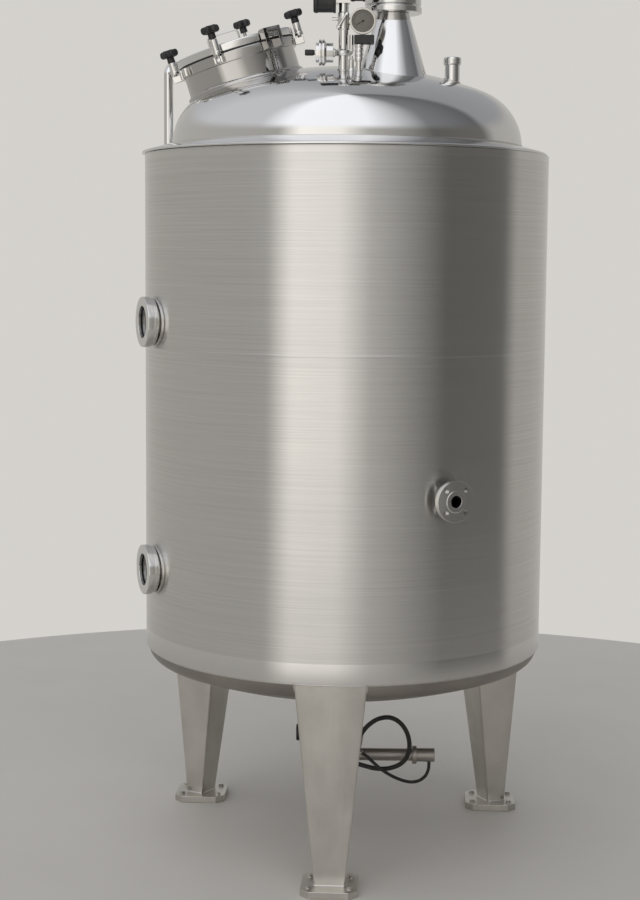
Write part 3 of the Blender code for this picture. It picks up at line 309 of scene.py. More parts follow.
def make_camera():
    """Camera looking along the fitted yaw, pitch and roll."""
    ahead = Vector((sin(CAMERA_YAW), cos(CAMERA_YAW), 0.0))
    right = Vector((cos(CAMERA_YAW), -sin(CAMERA_YAW), 0.0))
    up = Vector((0.0, 0.0, 1.0))
    view = ahead * cos(CAMERA_DOWN) - up * sin(CAMERA_DOWN)
    top = up * cos(CAMERA_DOWN) + ahead * sin(CAMERA_DOWN)
    image_right = right * cos(CAMERA_ROLL) + top * sin(CAMERA_ROLL)
    image_up = top * cos(CAMERA_ROLL) - right * sin(CAMERA_ROLL)
    turn = Matrix((image_right, image_up, -view)).transposed().to_4x4()
    data = bpy.data.cameras.new("photo_camera")
    data.lens = LENS
    data.sensor_width = FILM_SIDE
    data.sensor_height = FILM_SIDE
    data.sensor_fit = "AUTO"
    camera = bpy.data.objects.new("photo_camera", data)
    camera.matrix_world = Matrix.Translation(AXIS + CAMERA_PLACE) @ turn
    bpy.context.scene.collection.objects.link(camera)
    bpy.context.scene.camera = camera


# Shapes: each is (points, faces), with points an n x 3 array and faces an m x 4 array


def grid_faces(rows, columns, wrap_rows=False, wrap_columns=True):
    """Each cell of the grid joins a point to the next in its row, the one above that, and the one above."""
    index = np.arange(rows * columns).reshape(rows, columns)
    above = np.roll(index, -1, axis=0)
    cells = np.stack([index, np.roll(index, -1, axis=1), np.roll(above, -1, axis=1), above], axis=-1)
    if not wrap_rows:
        cells = cells[:-1]
    if not wrap_columns:
        cells = cells[:, :-1]
    return cells.reshape(-1, 4)


def eased(corners, reach=0.001, count=4, closed=True):
    """Each corner becomes a short curve: (1-t)^2 of its start, 2t(1-t) of the corner, t^2 of its end."""
    corners = np.asarray(corners, float)
    reach = np.broadcast_to(np.asarray(reach, float), len(corners)).copy()
    if not closed:
        reach[[0, -1]] = 0.0
    ends = []
    for shift in (1, -1):
        away = np.roll(corners, shift, axis=0) - corners
        length = np.maximum(np.linalg.norm(away, axis=1), 1e-9)
        ends.append(corners + away * (np.minimum(reach, 0.45 * length) / length)[:, None])
    t = np.linspace(0.0, 1.0, count)[None, :, None]
    start, middle, end = ends[0][:, None], corners[:, None], ends[1][:, None]
    return ((1 - t) ** 2 * start + 2 * t * (1 - t) * middle + t ** 2 * end).reshape(-1, corners.shape[1])


def circle(radius, sides):
    """Points (radius cos a, radius sin a) for equal steps of a."""
    turn = np.linspace(0.0, 2 * pi, sides, endpoint=False)
    return np.stack([radius * np.cos(turn), radius * np.sin(turn)], axis=-1)


def turned(profile, steps=96, closed=True):
    """Each (r, z) of the profile goes round the Z axis as (r cos a, r sin a, z)."""
    profile = np.asarray(profile, float)
    around = circle(1.0, steps)
    points = np.empty((len(profile), steps, 3))
    points[..., :2] = profile[:, None, :1] * around[None]
    points[..., 2] = profile[:, 1:]
    return points.reshape(-1, 3), grid_faces(len(profile), steps, wrap_rows=closed)


def spun(corners, reach, count, steps, closed=False):
    """The corners eased and then turned; closed where the outline comes back to its start."""
    return turned(eased(corners, reach, count, closed=closed), steps, closed=closed)


def disc(radius, low, high, reach=EDGE, steps=96):
    """A turned disc from low to high with eased edges."""
    corners = [(0.0, high), (radius, high), (radius, low), (0.0, low)]
    return turned(eased(corners, reach, closed=False), steps, closed=False)


def ring(inner, outer, low, high, reach=EDGE, steps=96):
    """A turned ring from low to high with eased edges."""
    return turned(eased([(outer, high), (outer, low), (inner, low), (inner, high)], reach), steps)


def swept(path, outline, across, closed=False):
    """Outline point (a, b) goes to path + a side + b top: side is across made square to the path."""
    path = np.asarray(path, float)
    if closed:
        along = np.roll(path, -1, axis=0) - np.roll(path, 1, axis=0)
    else:
        along = np.gradient(path, axis=0)
    along /= np.linalg.norm(along, axis=1, keepdims=True)
    side = np.asarray(across, float) - (along @ np.asarray(across, float))[:, None] * along
    side /= np.linalg.norm(side, axis=1, keepdims=True)
    top = np.cross(along, side)
    rows = path[:, None] + outline[None, :, :1] * side[:, None] + outline[None, :, 1:] * top[:, None]
    if not closed:
        sides = len(outline)
        rows = np.concatenate([np.repeat(path[None, :1], sides, axis=1), rows,
                               np.repeat(path[None, -1:], sides, axis=1)])
    return rows.reshape(-1, 3), grid_faces(len(rows), len(outline), wrap_rows=closed)


def level_bead(radius, height, bead, steps=RIM_STEPS):
    """Round bead lying level round the Z axis."""
    rim = np.column_stack([circle(radius, steps), np.full(steps, height)])
    return swept(rim, circle(bead, 10), Z_AXIS, closed=True)


def prism(outline, low, high):
    """A flat outline from low to high, closed by fans round its middle."""
    outline = np.asarray(outline, float)
    middle = np.broadcast_to(outline.mean(axis=0), outline.shape)
    flat = np.stack([middle, outline, outline, middle])
    points = np.empty((4, len(outline), 3))
    points[..., :2] = flat
    points[..., 2] = np.array([low, low, high, high])[:, None]
    return points.reshape(-1, 3), grid_faces(4, len(outline))


def box(size, centre):
    """A box of that size, as a prism of its plan."""
    x, y, z = (value / 2 for value in size)
    points, faces = prism([(-x, -y), (x, -y), (x, y), (-x, y)], -z, z)
    return points + np.asarray(centre, float), faces


def placed(shape, matrix):
    """The shape with its points carried by a 4 x 4 matrix."""
    points, faces = shape
    table = np.array(matrix)
    return points @ table[:3, :3].T + table[:3, 3], faces


def heading(direction, place):
    """Matrix that turns Z to a direction at a place."""
    return Matrix.Translation(place) @ Vector(direction).to_track_quat("Z", "Y").to_matrix().to_4x4()


def polar(radius, azimuth, height=0.0):
    return Vector((radius * cos(azimuth), radius * sin(azimuth), height))


def facing_out(radius, azimuth, height):
    """Matrix at a point on the tank's side whose Z points straight out."""
    turn = Matrix.Rotation(azimuth, 4, "Z") @ Matrix.Rotation(pi / 2, 4, "Y")
    return TANK @ Matrix.Translation(polar(radius, azimuth, height)) @ turn


def tidy_mesh(mesh, distance=MERGE, outward=True, flatten=False):
    """Doubles merged, faces turned outward, and flat areas made one face where edges are eased later."""
    work = bmesh.new()
    work.from_mesh(mesh)
    bmesh.ops.remove_doubles(work, verts=work.verts, dist=distance)
    if outward:
        bmesh.ops.recalc_face_normals(work, faces=work.faces)
    if flatten:
        bmesh.ops.dissolve_limit(work, angle_limit=radians(0.5), verts=work.verts, edges=work.edges)
    work.to_mesh(mesh)
    work.free()


def smooth_mesh(mesh, sharp=SHARP_ANGLE):
    mesh.shade_smooth()
    mesh.set_sharp_from_angle(angle=radians(sharp))


def new_object(name, mesh):
    item = bpy.data.objects.new(name, mesh)
    bpy.context.scene.collection.objects.link(item)
    return item


def mesh_of(name, points, faces):
    mesh = bpy.data.meshes.new(name)
    mesh.from_pydata(points.tolist(), [], faces.tolist())
    return mesh


def piece(name, shapes, material, nodes=(), body="tank", bevel=0.0, sharp=SHARP_ANGLE):
    """Join shapes into one mesh object that rides on a body and stands for CAD nodes."""
    points = np.concatenate([shape[0] for shape in shapes])
    starts = np.cumsum([0] + [len(shape[0]) for shape in shapes[:-1]])
    faces = np.concatenate([shape[1] + start for shape, start in zip(shapes, starts)])
    mesh = mesh_of(name, points, faces)
    tidy_mesh(mesh, flatten=bool(bevel))
    smooth_mesh(mesh, sharp)
    item = new_object(name, mesh)
    item.data.materials.append(material)
    if bevel:
        ease_edges(item, bevel)
    return hand_over(item, nodes, body)


def ease_edges(item, width):
    edges = item.modifiers.new("eased_edges", "BEVEL")
    edges.width = width
    edges.segments = 3
    edges.limit_method = "ANGLE"
    edges.angle_limit = radians(SHARP_ANGLE)
    edges.harden_normals = True


def hand_over(item, nodes, body):
    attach(item, body)
    if nodes:
        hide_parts(*nodes)
    return item


def bored(item, cutters):
    """The piece with the cutter shapes taken away."""
    used = []
    for number, shape in enumerate(cutters):
        mesh = mesh_of(f"cutter_{number}", *shape)
        tidy_mesh(mesh)
        cutter = new_object(f"cutter_{number}", mesh)
        take = item.modifiers.new(f"bore_{number}", "BOOLEAN")
        take.operation = "DIFFERENCE"
        take.solver = "EXACT"
        take.object = cutter
        used.append(cutter)
    bpy.context.view_layer.update()
    whole = item.evaluated_get(bpy.context.evaluated_depsgraph_get())
    mesh = bpy.data.meshes.new_from_object(whole)
    item.modifiers.clear()
    item.data = mesh
    for cutter in used:
        bpy.data.objects.remove(cutter, do_unlink=True)
    smooth_mesh(mesh)


def rounded_copy(node, width, material):
    """The CAD node's own shape with its doubles merged and its edges eased."""
    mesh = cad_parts[node].data.copy()
    tidy_mesh(mesh, 0.00001, outward=False, flatten=True)
    smooth_mesh(mesh)
    mesh.materials.clear()
    mesh.materials.append(material)
    item = new_object(f"eased_{node}", mesh)
    ease_edges(item, width)
    hand_over(item, (node,), "tank")


def weld(matrix, radius, bead, gap, steps=160):
    """Bead round a tube where it meets a surface: t falls by gap(point) until the gap is nothing."""
    around = circle(radius, steps)
    table = np.array(matrix)
    depth = np.zeros(steps)
    for _ in range(24):
        local = np.column_stack([around, depth])
        points = local @ table[:3, :3].T + table[:3, 3]
        depth = depth - gap(points - np.array(AXIS))
    return swept(points, circle(bead, 12), table[:3, 2], closed=True)


def dish_height(radius, crown, knuckle, at_radius):
    """Torispherical height: the crown's sphere inside, the knuckle's torus near the rim."""
    at_radius = np.asarray(at_radius, float)
    centre = radius - knuckle
    lean = asin(centre / (crown - knuckle))
    edge = crown * sin(lean)
    sphere = np.sqrt(np.maximum(crown ** 2 - at_radius ** 2, 0.0)) - (crown - knuckle) * cos(lean)
    torus = np.sqrt(np.maximum(knuckle ** 2 - (at_radius - centre) ** 2, 0.0))
    return np.where(at_radius < edge, sphere, torus)


def dish_outline(radius, crown, knuckle, steps=(16, 40), end_radius=0.0):
    """Rim to middle: the knuckle's arc in equal turns, then the crown's arc in equal turns."""
    centre = radius - knuckle
    lean = asin(centre / (crown - knuckle))
    bend = np.linspace(0.0, pi / 2 - lean, steps[0], endpoint=False)
    rise = np.linspace(lean, asin(end_radius / crown), steps[1])
    sphere = -(crown - knuckle) * cos(lean)
    low = np.stack([centre + knuckle * np.cos(bend), knuckle * np.sin(bend)], axis=-1)
    high = np.stack([crown * np.sin(rise), sphere + crown * np.cos(rise)], axis=-1)
    return np.concatenate([low, high])


def top_head_z(at_radius):
    return VESSEL_TOP + HEAD_SKIRT + dish_height(VESSEL_RADIUS, HEAD_CROWN, HEAD_KNUCKLE, at_radius)


def over_top_head(points):
    return points[:, 2] - top_head_z(np.hypot(points[:, 0], points[:, 1]))


def upright(place):
    """Matrix at a place in plan on the tank, and the height of the top head there."""
    return TANK @ Matrix.Translation((*place, 0.0)), float(top_head_z(sqrt(place[0] ** 2 + place[1] ** 2)))


def under_top_head():
    """Solid up to the middle of the top head's wall, to trim what stands on the head."""
    rim = VESSEL_TOP + HEAD_SKIRT
    dome = dish_outline(VESSEL_RADIUS - VESSEL_WALL / 2, HEAD_CROWN, HEAD_KNUCKLE, (12, 24))[::-1]
    profile = np.concatenate([dome + (0.0, rim), [(VESSEL_RADIUS, rim - 0.2), (0.0, rim - 0.2)]])
    return placed(turned(profile, 128, closed=False), TANK)


def jacket_core():
    """Solid as wide as the jacket, to trim what stands on its side."""
    return placed(disc(JACKET_RADIUS + GAP, 0.4, 2.2, EDGE, RIM_STEPS), TANK)


def outside_jacket(points):
    return np.hypot(points[:, 0], points[:, 1]) - JACKET_RADIUS


def smooth_route(points, between=8):
    """Catmull-Rom: half of 2b + (c-a)t + (2a-5b+4c-d)t^2 + (3b-a-3c+d)t^3 on each span."""
    points = np.asarray(points, float)
    ends = np.concatenate([[2 * points[0] - points[1]], points, [2 * points[-1] - points[-2]]])
    a, b, c, d = (ends[k:len(ends) - 3 + k, None] for k in range(4))
    t = np.linspace(0.0, 1.0, between, endpoint=False)[None, :, None]
    bend = (2 * a - 5 * b + 4 * c - d) * t ** 2 + (3 * b - a - 3 * c + d) * t ** 3
    spans = 0.5 * (2 * b + (c - a) * t + bend)
    return np.concatenate([spans.reshape(-1, 3), points[-1:]])


# Materials: node helpers first, then one function for each finish


def start_material(name, colour, roughness, metallic=0.0):
    material = bpy.data.materials.new(name)
    material.use_nodes = True
    shader = material.node_tree.nodes["Principled BSDF"]
    shader.inputs["Base Color"].default_value = (*colour, 1.0)
    shader.inputs["Roughness"].default_value = roughness
    shader.inputs["Metallic"].default_value = metallic
    return material, shader


def link(material, source, target):
    material.node_tree.links.new(source, target)


def noise(material, stretch, detail=3.0, roughness=0.5):
    """Noise on Object coordinates, stretched by the three scales."""
    nodes = material.node_tree.nodes
    where = nodes.new("ShaderNodeTexCoord")
    mapping = nodes.new("ShaderNodeMapping")
    mapping.inputs["Scale"].default_value = stretch
    texture = nodes.new("ShaderNodeTexNoise")
    texture.inputs["Scale"].default_value = 1.0
    texture.inputs["Detail"].default_value = detail
    texture.inputs["Roughness"].default_value = roughness
    link(material, where.outputs["Object"], mapping.inputs["Vector"])
    link(material, mapping.outputs["Vector"], texture.inputs["Vector"])
    return texture.outputs["Fac"]


def spread(material, source, low=0.0, high=1.0, start=0.35, end=0.65):
    """The source's middle range carried to low and high."""
    node = material.node_tree.nodes.new("ShaderNodeMapRange")
    node.inputs["From Min"].default_value = start
    node.inputs["From Max"].default_value = end
    node.inputs["To Min"].default_value = low
    node.inputs["To Max"].default_value = high
    link(material, source, node.inputs["Value"])
    return node.outputs["Result"]


def blend_colours(material, source, first, second):
    node = material.node_tree.nodes.new("ShaderNodeMix")
    node.data_type = "RGBA"
    node.inputs[6].default_value = (*first, 1.0)
    node.inputs[7].default_value = (*second, 1.0)
    link(material, source, node.inputs[0])
    return node.outputs[2]


def bump(material, shader, source, depth, strength=1.0):
    node = material.node_tree.nodes.new("ShaderNodeBump")
    node.inputs["Distance"].default_value = depth
    node.inputs["Strength"].default_value = strength
    link(material, source, node.inputs["Height"])
    link(material, node.outputs["Normal"], shader.inputs["Normal"])


def round_the_tank(material, shader, share):
    """Brushing that runs round the tank's axis, so that light spreads up and down."""
    shader.inputs["Anisotropic"].default_value = share
    shader.inputs["Anisotropic Rotation"].default_value = 0.25
    tangent = material.node_tree.nodes.new("ShaderNodeTangent")
    tangent.direction_type = "RADIAL"
    tangent.axis = "Z"
    link(material, tangent.outputs["Tangent"], shader.inputs["Tangent"])


def tint(material, shader, source, first, second):
    link(material, blend_colours(material, source, first, second), shader.inputs["Base Color"])


def gloss(material, shader, source, low, high):
    link(material, spread(material, source, low, high), shader.inputs["Roughness"])


def brushed_jacket_steel():
    """Fine lines that run round the tank and spread the light up and down."""
    material, shader = start_material("brushed_jacket_steel", (0.62, 0.61, 0.59), 0.23, 1.0)
    round_the_tank(material, shader, 1.0)
    lines = noise(material, (2.0, 2.0, 900.0), detail=4.0)
    patches = noise(material, (1.2, 1.2, 6.0), detail=2.0)
    tint(material, shader, spread(material, lines), (0.575, 0.565, 0.545), (0.665, 0.655, 0.635))
    gloss(material, shader, patches, 0.21, 0.25)
    bump(material, shader, lines, 0.00003)
    return material


def polished_band_steel():
    """The smooth bands at the jacket's rims: the same steel with finer lines."""
    material, shader = start_material("polished_band_steel", (0.66, 0.65, 0.63), 0.21, 1.0)
    round_the_tank(material, shader, 1.0)
    lines = noise(material, (2.0, 2.0, 500.0))
    gloss(material, shader, lines, 0.19, 0.23)
    bump(material, shader, lines, 0.00002)
    return material


def mirror_steel(name, colour):
    """Mirror polish with the faint waves of a hand-buffed plate and a few dull smears."""
    material, shader = start_material(name, colour, 0.07, 1.0)
    smears = noise(material, (9.0, 9.0, 9.0), detail=5.0)
    waves = noise(material, (5.0, 5.0, 5.0), detail=1.0)
    gloss(material, shader, smears, 0.05, 0.13)
    bump(material, shader, waves, 0.0006, 0.5)
    return material


def turned_steel():
    """Bright machined steel of the small fittings, with fine noise in its gloss."""
    material, shader = start_material("turned_steel", (0.72, 0.71, 0.69), 0.15, 1.0)
    grain = noise(material, (160.0, 160.0, 160.0), detail=2.0)
    gloss(material, shader, grain, 0.11, 0.20)
    bump(material, shader, grain, 0.00002)
    return material


def weld_steel():
    """Weld beads: rippled, a little darker and warmer than the plate."""
    material, shader = start_material("weld_steel", (0.62, 0.60, 0.57), 0.28, 1.0)
    ripples = noise(material, (220.0, 220.0, 220.0), detail=2.0)
    tint(material, shader, ripples, (0.50, 0.48, 0.45), (0.70, 0.68, 0.65))
    bump(material, shader, ripples, 0.0004)
    return material


def satin_plate_steel():
    """Plain plate of the legs and feet: dull, with a soft upright grain and faint stains."""
    material, shader = start_material("satin_plate_steel", (0.60, 0.58, 0.54), 0.33, 1.0)
    grain = noise(material, (260.0, 260.0, 6.0), detail=3.0)
    stains = noise(material, (7.0, 7.0, 5.0), detail=4.0)
    tint(material, shader, spread(material, stains), (0.54, 0.52, 0.48), (0.66, 0.64, 0.595))
    gloss(material, shader, grain, 0.28, 0.38)
    bump(material, shader, grain, 0.00004)
    return material


def dull_shaded_plate_steel():
    """Unpolished plate of the bottom head, with broad stains; its base colour is darker than the legs' as
    painted shade, standing in for the shade under the tank.
    """
    material, shader = start_material("dull_shaded_plate_steel", (0.31, 0.29, 0.27), 0.42, 1.0)
    stains = noise(material, (5.0, 5.0, 5.0), detail=4.0)
    tint(material, shader, spread(material, stains), (0.27, 0.25, 0.23), (0.36, 0.34, 0.31))
    gloss(material, shader, stains, 0.36, 0.48)
    return material


def bead_blasted_steel():
    """Grey cast steel of the outlet valve: fine, even grain."""
    material, shader = start_material("cast_valve_steel", (0.42, 0.39, 0.36), 0.48, 1.0)
    grain = noise(material, (420.0, 420.0, 420.0), detail=2.0)
    tint(material, shader, grain, (0.34, 0.31, 0.28), (0.50, 0.47, 0.44))
    bump(material, shader, grain, 0.00025)
    return material


def moulded_black():
    """Black moulded plastic with a fine skin and slightly worn gloss."""
    material, shader = start_material("moulded_black", (0.016, 0.016, 0.017), 0.38)
    skin = noise(material, (900.0, 900.0, 900.0), detail=1.0)
    wear = noise(material, (60.0, 60.0, 60.0), detail=3.0)
    gloss(material, shader, wear, 0.30, 0.48)
    bump(material, shader, skin, 0.00004)
    return material


def hose_rubber():
    """Dull black rubber with a light bloom of dust."""
    material, shader = start_material("hose_rubber", (0.022, 0.021, 0.020), 0.62)
    bloom = noise(material, (45.0, 45.0, 45.0), detail=4.0)
    tint(material, shader, spread(material, bloom), (0.014, 0.014, 0.014), (0.035, 0.033, 0.030))
    gloss(material, shader, bloom, 0.52, 0.72)
    bump(material, shader, bloom, 0.0001)
    return material


def sight_glass_dark():
    """Thick glass over an unlit vessel: nearly black, very glossy, a faint film of dust."""
    material, shader = start_material("sight_glass_dark", (0.012, 0.013, 0.013), 0.04)
    film = noise(material, (30.0, 30.0, 30.0), detail=4.0)
    gloss(material, shader, film, 0.03, 0.12)
    shader.inputs["IOR"].default_value = 1.52
    return material


def dial_card():
    """Printed dial face: dull grey-brown enamel, faintly uneven."""
    material, shader = start_material("dial_card", (0.16, 0.15, 0.13), 0.38)
    tone = noise(material, (80.0, 80.0, 80.0), detail=3.0)
    tint(material, shader, tone, (0.14, 0.13, 0.11), (0.19, 0.18, 0.155))
    return material


def pale_floor():
    """Plain pale floor with a hardly visible grain."""
    material, shader = start_material("pale_floor", (0.66, 0.63, 0.58), 0.55)
    grain = noise(material, (3.0, 3.0, 3.0), detail=5.0)
    tint(material, shader, grain, (0.63, 0.60, 0.55), (0.69, 0.66, 0.61))
    return material


JACKET_STEEL = brushed_jacket_steel()
BAND_STEEL = polished_band_steel()
MIRROR = mirror_steel("mirror_steel", (0.74, 0.735, 0.725))
# The same mirror steel with a darker base colour: painted shade standing in for the darker reflections on the
# manway neck
SHADED_NECK_MIRROR = mirror_steel("shaded_neck_mirror_steel", (0.50, 0.49, 0.475))
BRIGHT = turned_steel()
WELD = weld_steel()
SATIN = satin_plate_steel()
# Bottom head steel: its darker base colour is painted shade for the shade under the tank
DULL_SHADED = dull_shaded_plate_steel()
CAST = bead_blasted_steel()
BLACK = moulded_black()
RUBBER = hose_rubber()
DARK_GLASS = sight_glass_dark()
CARD = dial_card()


def make_hoses():
    """Rubber hoses along the CAD's routes, held at both ends by the outlet valve's glands."""
    for name, (radius, route) in HOSES.items():
        path = smooth_route(route) + np.array(AXIS)
        hose = piece(f"{name}_run", [swept(path, circle(radius, 20), Y_AXIS)], RUBBER, (name,))


def jacket_profile():
    """Outer side down with the seam's bead x = R + rise (1 - s^2), s from -1 to 1, then the inner side up."""
    share = np.linspace(-1.0, 1.0, 9)
    bead = np.stack([JACKET_RADIUS + SEAM_RISE * (1 - share ** 2), SEAM_HEIGHT - SEAM_HALF * share], axis=-1)
    inner = JACKET_RADIUS - JACKET_WALL
    corners = [(JACKET_RADIUS, JACKET_TOP), (JACKET_RADIUS, BAND_TOP), *bead, (JACKET_RADIUS, BAND_BOTTOM),
               (JACKET_RADIUS, JACKET_BOTTOM), (inner, JACKET_BOTTOM), (inner, JACKET_TOP)]
    return eased(corners, SOFT_EDGE, 4)


def make_jacket():
    """Wall with the inlet bored through it, and smoother bands just proud of it at both rims."""
    shape = placed(turned(jacket_profile(), RIM_STEPS), TANK)
    wall = piece("jacket_wall", [shape], JACKET_STEEL, ("jacket_shell",))
    inlet = facing_out(FLANGE_FACE_RADIUS, FLANGE_AZIMUTH, FLANGE_HEIGHT)
    bored(wall, [placed(disc(FLANGE_BORE, -0.10, 0.02, steps=48), inlet)])
    for name, low, high in (("upper_band", BAND_TOP, JACKET_TOP - EDGE),
                            ("lower_band", JACKET_BOTTOM + EDGE, BAND_BOTTOM)):
        band = ring(JACKET_RADIUS - EDGE, JACKET_RADIUS + GAP, low, high, 0.0004, RIM_STEPS)
        piece(name, [placed(band, TANK)], BAND_STEEL)


def make_closing_ring():
    """Sloped ring between jacket and vessel, rolled over at its outer edge, with a weld at the dome."""
    low = JACKET_TOP + GAP
    inner = VESSEL_RADIUS + GAP
    corners = [(inner, low + RING_EDGE + RING_RISE), (JACKET_RADIUS, low + RING_EDGE), (JACKET_RADIUS, low),
               (JACKET_RADIUS - JACKET_WALL, low), (inner, low + RING_RISE)]
    shape = spun(corners, (EDGE, 0.0045, ROUND_EDGE, EDGE, EDGE), 6, RIM_STEPS, closed=True)
    piece("closing_ring", [shape], MIRROR, ("jacket_top_ring",))
    bead = level_bead(VESSEL_RADIUS + 0.001, low + RING_EDGE + RING_RISE, RIM_BEAD)
    piece("rim_weld", [placed(bead, TANK)], WELD)


def make_top_dish():
    """Torispherical shell, its outside down from the middle and its inside back, bored for the fittings."""
    wall = VESSEL_WALL
    rise = (0.0, VESSEL_TOP + HEAD_SKIRT)
    outer = dish_outline(VESSEL_RADIUS, HEAD_CROWN, HEAD_KNUCKLE)[::-1]
    inner = dish_outline(VESSEL_RADIUS - wall, HEAD_CROWN - wall, HEAD_KNUCKLE - wall)
    edge = [(VESSEL_RADIUS, VESSEL_TOP), (VESSEL_RADIUS - wall, VESSEL_TOP)]
    profile = np.concatenate([outer + rise, edge, inner + rise])
    shape = placed(turned(profile, RIM_STEPS, closed=False), TANK)
    dish = piece("top_dish", [shape], MIRROR, ("top_head",))
    cutters = [placed(disc(COLLAR_RADIUS - COLLAR_WALL, -0.3, 0.1, steps=128), MANWAY)]
    for place, radius in ((RISER_PLACE, RISER_RADIUS - RISER_WALL), (VENT_PLACE, VENT_RADIUS - VENT_WALL),
                          (CONE_PLACE, CONE_FOOT_BORE)):
        cutters.append(placed(disc(radius, 2.15, 2.45, steps=48), upright(place)[0]))
    bored(dish, cutters)


def make_bottom_dish():
    """The shallow head that closes the jacket below, with a weld where it meets the rim."""
    wall = BOTTOM_HEAD_WALL
    skirt = BOTTOM_HEAD_RADIUS
    hole = OUTLET_RADIUS + GAP
    outer = dish_outline(skirt, BOTTOM_HEAD_CROWN, BOTTOM_HEAD_KNUCKLE, end_radius=hole)
    inner = dish_outline(skirt - wall, BOTTOM_HEAD_CROWN - wall, BOTTOM_HEAD_KNUCKLE - wall, end_radius=hole)
    hung = [points * (1, -1) + (0.0, JACKET_BOTTOM) for points in (outer, inner[::-1])]
    top = JACKET_BOTTOM + BOTTOM_HEAD_SKIRT
    profile = np.concatenate([[(skirt, top)], *hung, [(skirt - wall, top)]])
    # The bottom head's darker steel is painted shade for the shade under the tank
    piece("bottom_dish", [placed(turned(profile, RIM_STEPS), TANK)], DULL_SHADED, ("jacket_bottom_head",))
    bead = level_bead(skirt - 0.002, JACKET_BOTTOM - 0.002, BOTTOM_BEAD)
    piece("bottom_weld", [placed(bead, TANK)], WELD)


def bottom_head_z(at_radius):
    reach = np.minimum(at_radius, BOTTOM_HEAD_RADIUS)
    return JACKET_BOTTOM - dish_height(BOTTOM_HEAD_RADIUS, BOTTOM_HEAD_CROWN, BOTTOM_HEAD_KNUCKLE, reach)


def leg_section(outer, outside, inside, depth, curved):
    """Leg's section pointing out along X: its outer face is x = sqrt(outer^2 - y^2) where it is curved."""
    y = np.linspace(-outside / 2, outside / 2, LEG_FACE_POINTS)
    x = np.sqrt(outer ** 2 - y ** 2) if curved else np.full(LEG_FACE_POINTS, outer)
    back = [(outer - depth, inside / 2), (outer - depth, -inside / 2)]
    return np.concatenate([np.stack([x, y], axis=-1), back])


def leg_outline(section, between=4):
    """The section with round corners and points spread along its sides."""
    points = eased(section, LEG_CORNER, 5)
    after = np.roll(points, -1, axis=0)
    share = np.linspace(0.0, 1.0, between, endpoint=False)[None, :, None]
    return (points[:, None] * (1 - share) + after[:, None] * share).reshape(-1, 2)


def leg_rows(count=24):
    """Foot and head sections joined in straight lines, each line stopped at the bottom head."""
    foot = leg_outline(leg_section(*LEG_FOOT, False))
    head = leg_outline(leg_section(*LEG_TOP, True))
    low = FOOT_PLATE_THICKNESS + GAP
    high = JACKET_BOTTOM - GAP
    share = np.ones(len(foot))
    for _ in range(30):
        reach = np.linalg.norm(foot + (head - foot) * share[:, None], axis=1)
        share = (bottom_head_z(reach) - GAP - low) / (high - low)
    steps = np.linspace(0.0, 1.0, count)[:, None] * share[None]
    rows = np.empty((count, len(foot), 3))
    rows[..., :2] = foot[None] + (head - foot)[None] * steps[..., None]
    rows[..., 2] = low + (high - low) * steps
    return rows


def make_legs():
    """Folded plate legs with a weld under the tank and one on the foot plate."""
    rows = leg_rows()
    ends = [np.broadcast_to(row.mean(axis=0), row.shape) for row in (rows[0], rows[-1])]
    points = np.concatenate([[ends[0]], rows, [ends[1]]])
    shape = points.reshape(-1, 3), grid_faces(len(points), rows.shape[1])
    beads = [swept(row, circle(LEG_BEAD, 10), Z_AXIS, closed=True)
             for row in (rows[0], rows[-1] - (0.0, 0.0, LEG_BEAD / 2))]
    for side, azimuth in LEG_AZIMUTHS.items():
        place = TANK @ Matrix.Rotation(azimuth, 4, "Z")
        piece(f"leg_plate_{side}", [placed(shape, place)], SATIN, (f"leg_{side}",))
        piece(f"leg_welds_{side}", [placed(bead, place) for bead in beads], WELD)


def make_foot_plates():
    """Thick plates with cropped corners and four bolt heads each."""
    half = FOOT_PLATE_SIZE / 2
    short = half - FOOT_PLATE_CHAMFER
    outline = [(half, -short), (half, short), (short, half), (-short, half),
               (-half, short), (-half, -short), (-short, -half), (short, -half)]
    washer, washer_top = FOOT_WASHER
    head, head_low, head_top = FOOT_BOLT_HEAD
    for side, azimuth in LEG_AZIMUTHS.items():
        centre = polar(LEG_FOOT[0] - LEG_FOOT[3] / 2, azimuth)
        place = TANK @ Matrix.Translation(centre) @ Matrix.Rotation(LEG_AZIMUTHS["front"], 4, "Z")
        piece(f"foot_base_{side}", [placed(prism(outline, 0.0, FOOT_PLATE_THICKNESS), place)], SATIN,
              (f"foot_plate_{side}",), bevel=SOFT_EDGE)
        bolts = []
        for x in (-FOOT_BOLTS[0], FOOT_BOLTS[0]):
            for y in (-FOOT_BOLTS[1], FOOT_BOLTS[1]):
                spot = place @ Matrix.Translation((x, y, FOOT_PLATE_THICKNESS - GAP))
                bolts.append(placed(disc(washer, 0.0, washer_top, 0.0005, 32), spot))
                bolts.append(placed(prism(circle(head, 6), head_low, head_top), spot))
        piece(f"foot_bolts_{side}", bolts, SATIN, bevel=0.0006)


